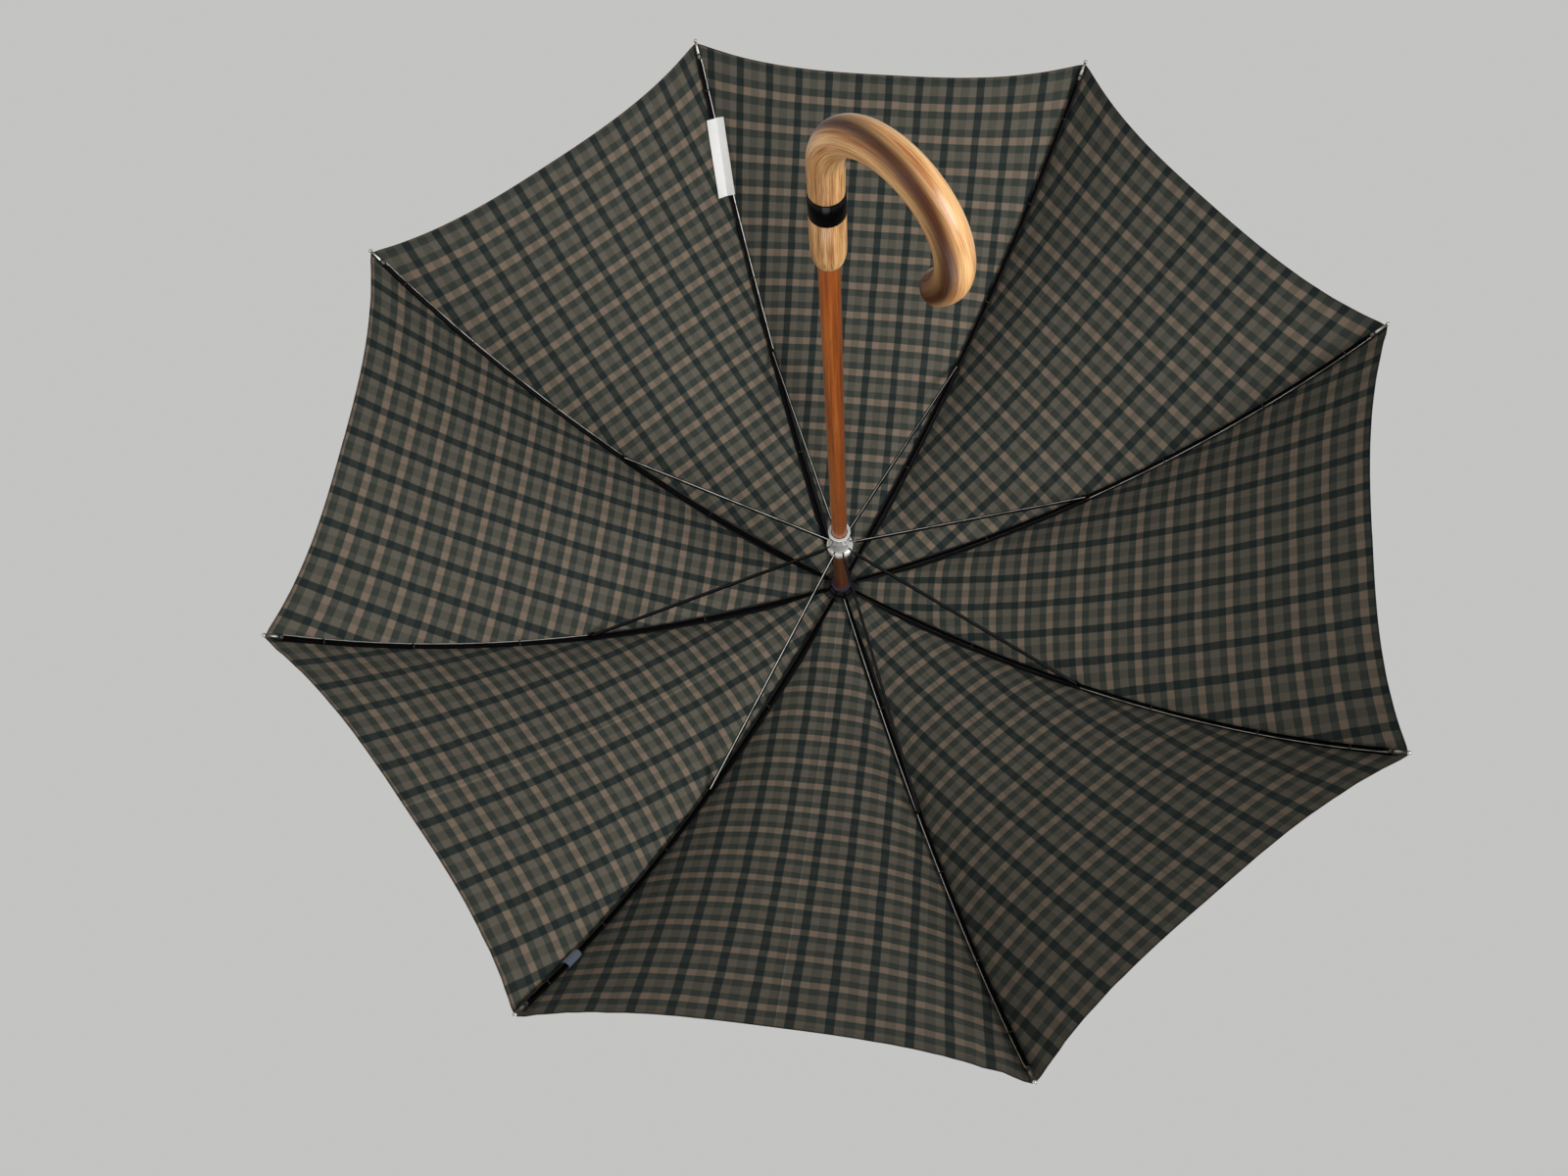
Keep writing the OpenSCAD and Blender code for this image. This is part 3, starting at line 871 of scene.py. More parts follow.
@dataclass(frozen=True)
class ShaftWood:
    """Reddish-brown lacquered wood with a straight grain, with painted shade down one flank and a painted shadow
    on its upper stretch under the canopy.
    """

    name: str = "shaft_wood"
    orange: Colour = srgb(228, 138, 58)
    red: Colour = srgb(184, 96, 34)
    dark: Colour = srgb(92, 41, 14)
    # Colour of the painted shadow on the shaft under the canopy.
    deep: Colour = srgb(52, 24, 11)
    # Direction, about the axis, of the flank that gets painted shade.
    flank: float = math.radians(106)
    radius: float = 0.0075

    def build(self) -> bpy.types.Material:
        """Builds the finish from Object coordinates.

        Returns:
            The material.
        """
        sh = Shader(self.name)
        x, y, z = sh.split(sh.coordinates())
        fine = sh.noise(sh.vector(x * 900, y * 900, z * 14), 1, 4, 0.6)
        broad = sh.noise(sh.vector(x * 160, y * 160, z * 5), 1, 2)
        pores = sh.noise(sh.vector(x * 1300, y * 1300, z * 70), 1, 2)
        tone = sh.node(
            "ShaderNodeValToRGB",
            {"stops": [(0.3, self.dark), (0.48, self.red), (0.7, self.orange)]},
            {0: fine * 0.5 + broad * 0.5},
        )
        # Painted shade: the flank turned away from the light is mixed toward the dark colour.
        to_flank = (x * math.cos(self.flank) + y * math.sin(self.flank)) / self.radius
        tone = sh.mix(to_flank.step(0.35, 0.75) * 0.7, tone, self.dark)
        # Painted shadow: above a height of 0.53 m, under the canopy, the wood is mixed toward a deeper colour.
        tone = sh.mix(z.step(0.53, 0.03) * 0.75, tone, self.deep)
        sh.surface(
            Base_Color=sh.mix((1 - pores.step(0.36, 0.04)) * 0.4, tone, self.dark),
            Roughness=0.30 + fine * 0.08,
            Coat_Weight=0.6,
            Coat_Roughness=0.12,
        )
        sh.bump(fine, 0.0001, 0.25)
        return sh.material


@dataclass(frozen=True)
class Metal:
    """Bare or plated metal, slightly worn."""

    name: str
    colour: Colour
    roughness: float = 0.25
    wear: float = 0.15

    def build(self) -> bpy.types.Material:
        """Builds the finish from Object coordinates.

        Returns:
            The material.
        """
        sh = Shader(self.name)
        place = sh.coordinates()
        cloud = sh.noise(place, 220, 4)
        scratch = sh.noise(place, 900, 2)
        sh.surface(
            Base_Color=sh.shade(self.colour, 1 - self.wear / 2 + cloud * self.wear),
            Metallic=1.0,
            Roughness=self.roughness + cloud * 0.1 + scratch * 0.08,
        )
        sh.bump(scratch, 0.00005, 0.3)
        return sh.material


@dataclass(frozen=True)
class Enamel:
    """Black or dark enamel and plastic, with soft wear along the surface."""

    name: str
    colour: Colour
    worn: Colour
    roughness: float = 0.28
    coat: float = 0.5
    gloss: float = 0.5

    def build(self) -> bpy.types.Material:
        """Builds the finish from Object coordinates.

        Returns:
            The material.
        """
        sh = Shader(self.name)
        place = sh.coordinates()
        cloud = sh.noise(place, 90, 4)
        grit = sh.noise(place, 1400, 2)
        rub = cloud.step(0.60, 0.08) * grit.step(0.5, 0.2)
        sh.surface(
            Base_Color=sh.mix(rub * 0.6, self.colour, self.worn),
            Roughness=self.roughness + cloud * 0.14,
            Coat_Weight=self.coat,
            Coat_Roughness=0.15,
            Specular_IOR_Level=self.gloss,
        )
        sh.bump(grit, 0.00004, 0.3)
        return sh.material


class Wear(Enum):
    """How strongly a steel part shows its painted highlight: a line of bright steel in the black enamel, in place
    of a lamp's reflection.
    """

    DULL = 0.03
    THIN = 0.5
    BRIGHT = 1.0


@dataclass(frozen=True)
class RibSteel:
    """Black enamelled channel steel, with a painted highlight of bright steel along a rib's edge and a stretcher's
    back.
    """

    wear: Wear
    black: Colour = srgb(6, 6, 7)
    # Colour of the painted highlight lines.
    steel: Colour = srgb(238, 238, 234)
    rib_half: float = 0.0021
    edge: float = 0.0008
    line: float = 0.0003

    def build(self) -> bpy.types.Material:
        """Builds the finish from Object coordinates.

        Returns:
            The material.
        """
        sh = Shader(f"enamel_{self.wear.name.lower()}")
        place = sh.coordinates()
        x, y, z = sh.split(place)
        radius = x.length_with(y)
        side = (y.angle_to(x) * RIBS).sine() * radius / RIBS
        centre_r, centre_z = RIB.centre()
        from_arc = (radius - centre_r).length_with(z - centre_z) - RIB.radius
        on_rib = from_arc.magnitude() < 0.0030
        rib_edge = (side > self.rib_half - self.edge) * (from_arc < 0.0008 - RIB.height / 2)
        strut_line = 1 - side.magnitude().step(self.line, 0.0001)
        patches = sh.noise(place, 60, 3).step(0.46, 0.08)
        # Painted highlight: bright metal lines along one edge of a rib and down the middle of a stretcher,
        # standing in for the lamps' reflections.
        lines = rib_edge * on_rib + strut_line * (1 - on_rib)
        bright = lines * (0.5 + patches * 0.5) * self.wear.value
        cloud = sh.noise(place, 300, 3)
        sh.surface(
            Base_Color=sh.mix(bright, self.black, self.steel),
            Metallic=bright,
            Roughness=0.42 + cloud * 0.12 - bright * 0.15,
            Specular_IOR_Level=0.05,
        )
        sh.bump(cloud, 0.00004, 0.3)
        return sh.material


@dataclass(frozen=True)
class NotchPlastic:
    """Black notch with a violet-grey collar below its flange."""

    name: str = "notch_plastic"
    black: Colour = srgb(5, 5, 6)
    violet: Colour = srgb(50, 45, 58)
    collar_z: float = RIB.hinge_z - 0.0034

    def build(self) -> bpy.types.Material:
        """Builds the finish from Object coordinates.

        Returns:
            The material.
        """
        sh = Shader(self.name)
        place = sh.coordinates()
        _, _, z = sh.split(place)
        cloud = sh.noise(place, 300, 3)
        collar = 1 - z.step(self.collar_z, 0.0004)
        colour = sh.mix(collar, self.black, self.violet)
        sh.surface(
            Base_Color=sh.shade(colour, 0.85 + cloud * 0.3),
            Roughness=0.42 + cloud * 0.15,
            Specular_IOR_Level=0.15,
        )
        sh.bump(cloud, 0.0001, 0.4)
        return sh.material


@dataclass(frozen=True)
class ClearPlastic:
    """Clear moulded plastic, a little cloudy, with painted shade in dark lines beside its flange's slots."""

    name: str = "clear_plastic"
    tint: Colour = srgb(244, 244, 240)
    shadow: Colour = srgb(70, 70, 68)
    flange_z: float = joint("runner_travel")["pos_m"][2] - 0.0034

    def build(self) -> bpy.types.Material:
        """Builds the finish from Object coordinates.

        Returns:
            The material.
        """
        sh = Shader(self.name)
        place = sh.coordinates()
        x, y, z = sh.split(place)
        cloud = sh.noise(place, 260, 3)
        radius = x.length_with(y)
        from_slot = ((y.angle_to(x) * RIBS).sine() * radius / RIBS).magnitude()
        between = (y.angle_to(x).fold(GORE) * radius).magnitude()
        # Painted shade: dark lines beside each slot of the flange.
        lines = (1 - from_slot.step(0.0008, 0.0004)) * (between < 0.0030)
        facets = lines * z.step(self.flange_z, 0.0003) * radius.step(0.0096, 0.0003)
        colour = sh.shade(self.tint, 0.94 + cloud * 0.06)
        sh.surface(
            Base_Color=sh.mix(facets * 0.9, colour, self.shadow),
            Roughness=0.06 + cloud * 0.06,
            IOR=1.49,
            Transmission_Weight=0.5,
            Coat_Weight=0.6,
            Coat_Roughness=0.04,
        )
        sh.bump(cloud, 0.0002, 0.12)
        return sh.material


def built(finish: object) -> bpy.types.Material:
    """A field whose material is built with the rest of the finishes."""
    return field(default_factory=finish.build)


def wear_levels() -> dict[Wear, bpy.types.Material]:
    """The ribs' enamel at each strength of painted highlight."""
    return {wear: RibSteel(wear).build() for wear in Wear}


@dataclass
class Finishes:
    """All the finishes, each built once."""

    cloth: bpy.types.Material = built(CheckCloth())
    seam: bpy.types.Material = built(PlainCloth("seam_cloth", srgb(13, 14, 15), 0.5, 0.02))
    ribbon: bpy.types.Material = built(
        PlainCloth("label_ribbon", srgb(222, 222, 220), 0.5, 0.1, 0.0006, 0.06)
    )
    tab: bpy.types.Material = built(
        PlainCloth("tab_ribbon", srgb(84, 92, 106), 0.32, 0.4, 0.0006, 0.2)
    )
    thread: bpy.types.Material = built(
        PlainCloth("thread", srgb(18, 18, 19), 0.6, 0.1, 0.0004, 0.3)
    )
    crook: bpy.types.Material = built(CrookWood())
    shaft: bpy.types.Material = built(ShaftWood())
    band: bpy.types.Material = built(
        Enamel("band_lacquer", srgb(4, 4, 5), srgb(9, 9, 10), 0.1, 0.0, 0.1)
    )
    # Black enamel with painted highlight lines, one material for each strength.
    enamel: dict[Wear, bpy.types.Material] = field(default_factory=wear_levels)
    notch: bpy.types.Material = built(NotchPlastic())
    cap: bpy.types.Material = built(
        Enamel("cap_plastic", srgb(26, 26, 27), srgb(44, 44, 45), 0.4, 0.1)
    )
    nickel: bpy.types.Material = built(Metal("nickel", srgb(168, 166, 160)))
    steel: bpy.types.Material = built(Metal("spring_steel", srgb(168, 160, 145), 0.35))
    clear: bpy.types.Material = built(ClearPlastic())
    rim: bpy.types.Material = built(
        Enamel("rim_white", srgb(226, 230, 230), srgb(240, 242, 242), 0.15, 0.8)
    )


# ---------------------------------------------------------------- studio


@dataclass
class Studio:
    """Camera, lamps, floor and the pale surroundings."""

    eye: Point = (-0.4656, -0.1196, -0.6364)
    right: Point = (-0.2672, 0.9620, 0.0559)
    up: Point = (0.8971, 0.2695, -0.3500)
    view: Point = (0.3518, 0.0434, 0.9351)
    lens: float = 28.93
    floor_z: float = -1.9

    def build(self) -> None:
        """Builds the whole studio."""
        bpy.context.scene.view_settings.view_transform = "Standard"
        self.camera()
        self.world()
        self.floor()
        self.lamps()

    def camera(self) -> None:
        """Adds the camera, looking up into the canopy."""
        data = bpy.data.cameras.new("camera")
        data.lens = self.lens
        data.sensor_width = 36
        data.clip_start = 0.01
        camera = bpy.data.objects.new("camera", data)
        axes = Matrix((self.right, self.up, [-c for c in self.view])).transposed().to_4x4()
        camera.matrix_world = Matrix.Translation(self.eye) @ axes
        bpy.context.scene.collection.objects.link(camera)
        bpy.context.scene.camera = camera

    def world(self) -> None:
        """Pale surroundings, seen by the camera and in glossy and clear surfaces."""
        world = bpy.data.worlds.new("studio")
        bpy.context.scene.world = world
        world.use_nodes = True
        tree = world.node_tree
        tree.nodes.clear()
        kinds = ("OutputWorld", "MixShader", "Background", "Background", "LightPath")
        output, mix, seen, ambient, path = (tree.nodes.new(f"ShaderNode{kind}") for kind in kinds)
        seen.inputs[0].default_value = (*srgb(196, 196, 195), 1)
        ambient.inputs[0].default_value = (1, 0.99, 0.975, 1)
        ambient.inputs[1].default_value = 0.15
        sees = path.outputs["Is Camera Ray"]
        for ray in ("Is Glossy Ray", "Is Transmission Ray"):
            either = tree.nodes.new("ShaderNodeMath")
            either.operation = "MAXIMUM"
            tree.links.new(sees, either.inputs[0])
            tree.links.new(path.outputs[ray], either.inputs[1])
            sees = either.outputs[0]
        for inlet, outlet in enumerate((sees, ambient.outputs[0], seen.outputs[0])):
            tree.links.new(outlet, mix.inputs[inlet])
        tree.links.new(mix.outputs[0], output.inputs[0])

    def floor(self) -> None:
        """A plain pale floor, far below the umbrella."""
        deselect()
        bpy.ops.mesh.primitive_plane_add(size=14, location=(0, 0, self.floor_z))
        bpy.ops.object.transform_apply(location=True)
        floor = bpy.context.object
        floor.name = "floor"
        sh = Shader("floor_paint")
        cloud = sh.noise(sh.coordinates(), 1.5, 2)
        rays = ("Is Camera Ray", "Is Glossy Ray", "Is Transmission Ray")
        camera, glossy, clear = (sh.node("ShaderNodeLightPath", outlet=ray) for ray in rays)
        sees = (camera + glossy + clear) > 0.5
        sh.surface(
            Base_Color=sh.shade(srgb(214, 213, 210), 0.97 + cloud * 0.05),
            Roughness=0.8,
            Emission_Color=sh.mix(sees, (0.0, 0.0, 0.0), srgb(158, 158, 156)),
            Emission_Strength=1.0,
        )
        floor.data.materials.append(sh.material)

    def lamps(self) -> None:
        """Soft lamps below, for the inside, and above, for the outside."""
        target = Vector((0, 0, 0.45))
        for name, place, size, watts in (
            ("key", (-1.3, 1.3, -1.0), 1.4, 54),
            ("fill", (-0.9, -1.9, -0.9), 1.6, 14),
            ("low", (1.2, -1.45, -1.0), 1.6, 8),
            ("top", (0.6, 0.8, 2.9), 2.4, 45),
            ("back", (-2.2, -0.8, 1.6), 1.6, 22),
        ):
            data = bpy.data.lights.new(name, "AREA")
            data.shape = "DISK"
            data.size = size
            data.energy = watts
            lamp = bpy.data.objects.new(name, data)
            lamp.location = place
            lamp.rotation_euler = (target - Vector(place)).to_track_quat("-Z", "Y").to_euler()
            bpy.context.scene.collection.objects.link(lamp)


# ---------------------------------------------------------------- canopy


@dataclass(frozen=True)
class CanopySurface:
    """The curved surface that the stretched gores take."""

    seat: float = 0.003677
    crown_r: float = 0.0082
    crown_lift: float = 0.0018
    crown_blend: float = 0.040
    hem_inset: float = 0.005
    scallop: float = 0.0165
    hem_rise: float = 0.0115
    slope: float = 0.09
    power: float = 2.9
    ridge: float = 0.00265
    ridge_limit: float = 0.1
    pucker: float = 0.0009

    @property
    def crown_s(self) -> float:
        """Distance along the rib at which the cloth starts."""
        return self.crown_r - RIB.hinge_r

    @property
    def reach(self) -> float:
        """Length of the cloth along a rib."""
        return RIB.length - self.hem_inset - self.crown_s

    def s_at(self, u: float) -> float:
        """Distance along the rib at a share of the gore's length."""
        return self.crown_s + u * self.reach

    def u_at(self, s: float) -> float:
        """Share of the gore's length at a distance along the rib."""
        return (s - self.crown_s) / self.reach

    def rib_line(self, u: float) -> tuple[float, float]:
        """Radius and height of the cloth on the rib."""
        s = self.s_at(u)
        r, z = RIB.at(s, self.seat)
        return r, z + self.crown_lift * max(0.0, 1 - s / self.crown_blend) ** 2

    def middle(self, u: float) -> tuple[float, float]:
        """Radius and height of the cloth on the gore's middle line."""
        r0, z0 = self.rib_line(0)
        r1, z1 = self.rib_line(1)
        r, _ = self.rib_line(u)
        fall = (r - r0) / (r1 - r0)
        hem_r = r1 * math.cos(HALF_GORE) - self.scallop
        drop = z0 - (z1 + self.hem_rise)
        sag = self.slope * fall + (1 - self.slope) * fall**2
        return r0 + fall * (hem_r - r0), z0 - drop * sag

    def half_width(self, u: float) -> float:
        """Half the width of the gore, from its middle line to a rib."""
        return self.rib_line(u)[0] * math.sin(HALF_GORE)

    def rib_weight(self, u: float, w: float) -> float:
        """How nearly a point has its rib's height: 0 on the middle line and 1 over the rib."""
        ridge = min(self.ridge_limit, self.ridge / (self.half_width(u) * math.cos(HALF_GORE)))
        return min(1.0, abs(w) / (1 - ridge)) ** self.power

    def point(self, u: float, w: float) -> Point:
        """A point of a gore whose middle line is along +X; w is -1 and 1 on its ribs."""
        r, z = self.rib_line(u)
        mid_r, mid_z = self.middle(u)
        share = self.rib_weight(u, w)
        return (
            (1 - share) * mid_r + share * r * math.cos(HALF_GORE),
            w * r * math.sin(HALF_GORE),
            (1 - share) * mid_z + share * z,
        )

    def along_middle(self, u: float) -> float:
        """Distance along the gore's middle line."""
        steps = max(2, int(60 * u))
        points = [self.middle(u * i / steps) for i in range(steps + 1)]
        return sum(math.dist(a, b) for a, b in zip(points, points[1:]))


# How much larger a sheet's flat size is reckoned than its modelled size; the flat sizes worked out with it are not
# used. How much larger a sheet's flat size is stated than its modelled size.
FLAT_ALLOWANCE = 1.02
# How far each gore's cut is shifted along the check, across and down, in metres.
GORE_CUTS = (
    (0.0042, 0.3232),
    (0.0042, 0.3092),
    (-0.0124, 0.3112),
    (-0.0151, 0.3030),
    (-0.0116, 0.3010),
    (0.0090, 0.3218),
    (0.0140, 0.3215),
    (-0.0104, 0.3235),
)


@dataclass
class Canopy:
    """Eight gores of check cloth, cut along their ribs and middle lines where they fold."""

    finishes: Finishes
    surface: CanopySurface
    cloth: float = 0.0005
    inner_cuts: tuple[float, ...] = (0.0, 0.10, 0.22, 0.385, 0.64, 1.0)
    outer_cuts: tuple[float, ...] = (0.0, 0.27, 0.56, 0.82, 1.0)
    rows: int = 16
    columns: int = 26
    creased: tuple[int, ...] = (3, 4, 5)
    pulled: tuple[int, ...] = (3, 4, 5)
    gathered: tuple[int, ...] = (1, 2, 3, 4)
    seam_width: float = 0.0124
    seam_cloth: float = 0.0004
    tie_at: tuple[float, ...] = (0.145, 0.345, 0.455, 0.545)
    tie: ThreadLoop = ThreadLoop(0.0030, 0.00045, (0.85, 0.98, 1.6), 20)

    def build(self) -> None:
        """Builds the cloth, its seams and its thread ties."""
        spans = [*self.spans("inner"), *self.spans("outer")]
        for k in range(1, RIBS + 1):
            for number, (start, end, part) in enumerate(spans, 1):
                for side in (-1, 1):
                    self.leaf(k, side, start, end, part, number)
            self.seams(k)
            for number, s in enumerate(self.tie_at, 1):
                s += 0.004 * ((k * 3) % 5 - 2)
                self.tie.add(f"tie_{k}_{number}", k, s, self.finishes.thread)

    def spans(self, part: str) -> list[tuple[float, float, str]]:
        """Start and end of each leaf on one part of a rib, as shares of the gore's length."""
        flex = self.surface.u_at(FLEX_S)
        inner = part == "inner"
        first, reach = (0.0, flex) if inner else (flex, 1 - flex)
        edges = [first + c * reach for c in (self.inner_cuts if inner else self.outer_cuts)]
        return [(start, end, part) for start, end in zip(edges, edges[1:])]

    def height(self, u: float, w: float, gore: int) -> float:
        """How far wrinkles lift the cloth along the seams, at the corners and across a gore.

        Args:
            u: Share of the gore's length.
            w: Share of the gore's half width, -1 and 1 on its ribs.
            gore: The gore, from 0.

        Returns:
            The lift in metres.
        """
        half = self.surface.half_width(u)
        length = self.surface.s_at(u)
        from_rib = (1 - abs(w)) * half
        seat = min(1.0, from_rib / 0.012)
        seed = Vector((gore * 7.3 + (3.1 if w > 0 else 0.0), 0, 0))
        wave = noise.noise(Vector((length * 55, from_rib * 18, 0)) + seed)
        pucker = wave * math.exp(-from_rib / 0.030) * (0.5 + 1.6 * max(0.0, u - 0.55))
        corner = max(0.0, u - 0.78) / 0.22
        ray = noise.noise(Vector((from_rib * 60 - length * 22, 0, 9)) + seed)
        pull = ray * corner * math.exp(-from_rib / 0.055) * (3.2 if gore in self.pulled else 1.6)
        broad = noise.noise(Vector((w * half * 9, length * 9, 4)) + seed * 0.1) * (1 - abs(w)) * 1.2
        return self.surface.pucker * seat * (pucker * 1.4 + pull + broad)

    def place(self, k: int, side: int, u: float, v: float, lift: float) -> Point:
        """A point of the cloth beside rib k.

        Args:
            k: The rib, from 1.
            side: 1 for the half gore counter-clockwise of the rib, -1 for the other.
            u: Share of the gore's length.
            v: 0 on the rib and 1 on the gore's middle line.
            lift: Distance outward from the cloth's inner face.

        Returns:
            The point.
        """
        w = -side * (1 - v)
        gore = gore_beside(k, side)
        angle = (k - 1) * GORE + side * HALF_GORE
        x, y, z = self.surface.point(u, w)
        slope = RIB.slope(self.surface.s_at(u))
        rise = lift + self.height(u, w, gore)
        flat = math.hypot(x, y)
        out = rise * math.sin(slope) / flat
        return turned_about_z((x + x * out, y + y * out, z + rise * math.cos(slope)), angle)

    def leaf(self, k: int, side: int, start: float, end: float, part: str, number: int) -> None:
        """Builds one leaf of cloth: half a gore wide, from start to end of its length.

        Args:
            k: The rib that it hangs on.
            side: Which half gore it is.
            start: Share of the gore's length where it starts.
            end: Share where it ends.
            part: Whether it is on the inner or the outer part of the rib.
            number: Its place in the row, from the crown.
        """
        gore = gore_beside(k, side)
        shift_x, shift_y = GORE_CUTS[gore]
        surface = self.surface
        whole = surface.along_middle(1.0)
        lengths = [
            surface.along_middle(start + (end - start) * i / self.rows)
            for i in range(self.rows + 1)
        ]

        def shape(across: float, along: float) -> tuple[Point, tuple[float, float]]:
            """Place and UV of a point of the leaf."""
            u = start + (end - start) * along
            v = across if side > 0 else 1 - across
            w = -side * (1 - v)
            y = lengths[round(along * self.rows)]
            return (
                self.place(k, side, u, v, 0.0),
                (w * surface.half_width(u) - shift_x, y - shift_y),
            )

        def marks(across: float, along: float) -> Point:
            """How near a point is to the hem, to a creased middle line, and how puckered it is."""
            u = start + (end - start) * along
            half = surface.half_width(u)
            from_middle = (1 - across if side > 0 else across) * half
            to_hem = whole - lengths[round(along * self.rows)]
            crease = 1 - from_middle / MARK_REACH if gore in self.creased else 0.0
            near_rib = math.exp(-(half - from_middle) / 0.030)
            crown = max(0.0, 1 - surface.s_at(u) / 0.17)
            corner = max(0.0, u - 0.7) / 0.3
            pucker = near_rib * (0.35 + 0.65 * corner)
            pucker += crown * (1.0 if gore in self.gathered else 0.5)
            return max(0.0, 1 - to_hem / MARK_REACH), max(0.0, crease), min(1.0, pucker)

        name = f"cloth_{k}_{'b' if side > 0 else 'a'}{number}"
        leaf = grid_sheet(name, self.columns, self.rows, shape)
        mark_sheet(leaf, self.columns, self.rows, marks)
        width = surface.half_width(end) * FLAT_ALLOWANCE + 0.001
        on_rib = math.dist(surface.rib_line(start), surface.rib_line(end))
        modify(leaf, "SOLIDIFY", thickness=self.cloth, offset=-1.0)
        smooth(leaf, 60)
        body = rib_body(k, part == "outer")
        replaced = [f"canopy_panel_{k}"] if number == 1 and side > 0 else []
        finish_piece(leaf, body, self.finishes.cloth, Role.CLOTH, replaced)
        self.fold(leaf, k, side, start, end, part)

    def fold(
        self, leaf: bpy.types.Object, k: int, side: int, start: float, end: float, part: str
    ) -> None:
        """Gives a leaf a mesh of its own; how far it could gather onto its rib as the umbrella closes is worked
        out here but not used.

        Args:
            leaf: The piece.
            k: The rib that it hangs on.
            side: Which half gore it is.
            start: Share of the gore's length where it starts.
            end: Share where it ends.
            part: Whether it is on the inner or the outer part of the rib.
        """
        u = (start + end) / 2
        s = self.surface.s_at(u)
        anchor = Vector(self.place(k, side, u, 0.0, 0.0))
        span = Vector(self.place(k, side, u, 1.0, 0.0)) - anchor
        axes = RIB.matrix(k, s).to_3x3()
        along = axes.col[0]
        span -= along * span.dot(along)
        fold_joint = "fold" if k == 1 else f"rib_{k}_fold"
        name = fold_joint if part == "inner" else f"rib_outer_{k}_flex"
        room = closed_radius(s) * math.tan(HALF_GORE)
        keep = min(1.0, 1.12 * room / self.surface.half_width(u))
        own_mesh(leaf)

    def seams(self, k: int) -> None:
        """Adds the dark seam allowance that lies along a rib, under the cloth; its black strip, about 10 mm wide,
        is partly seam and partly painted shade beside the rib.
        """
        flex = self.surface.u_at(FLEX_S)
        for part, start, end in (("inner", 0.05, flex - 0.003), ("outer", flex + 0.003, 0.985)):

            def shape(across: float, along: float) -> tuple[Point, tuple[float, float]]:
                """Place and UV of a point of the strip."""
                u = start + (end - start) * along
                s = self.surface.s_at(u)
                wave = noise.noise(Vector((s * 90, across * 3, k * 5.0)))
                taper = min(1.0, s / 0.08)
                # The strip's width takes in painted shade beside the rib as well as the seam.
                reach = (0.0052 + 0.0012 * wave) * taper
                side = (2 * across - 1) * reach
                sag = 0.0009 * abs(2 * across - 1) ** 2 + 0.0004 * wave * abs(2 * across - 1)
                out = self.surface.seat - 0.0005 - sag - 0.0001
                return RIB.place(k, s, side, out), (across, along)

            strip = grid_sheet(f"seam_{part}_{k}", 8, 90, shape)
            modify(strip, "SOLIDIFY", thickness=self.seam_cloth, offset=0.0)
            smooth(strip, 60)
            body = rib_body(k, part == "outer")
            finish_piece(strip, body, self.finishes.seam, Role.CLOTH)
            length = (self.surface.s_at(end) - self.surface.s_at(start)) * FLAT_ALLOWANCE


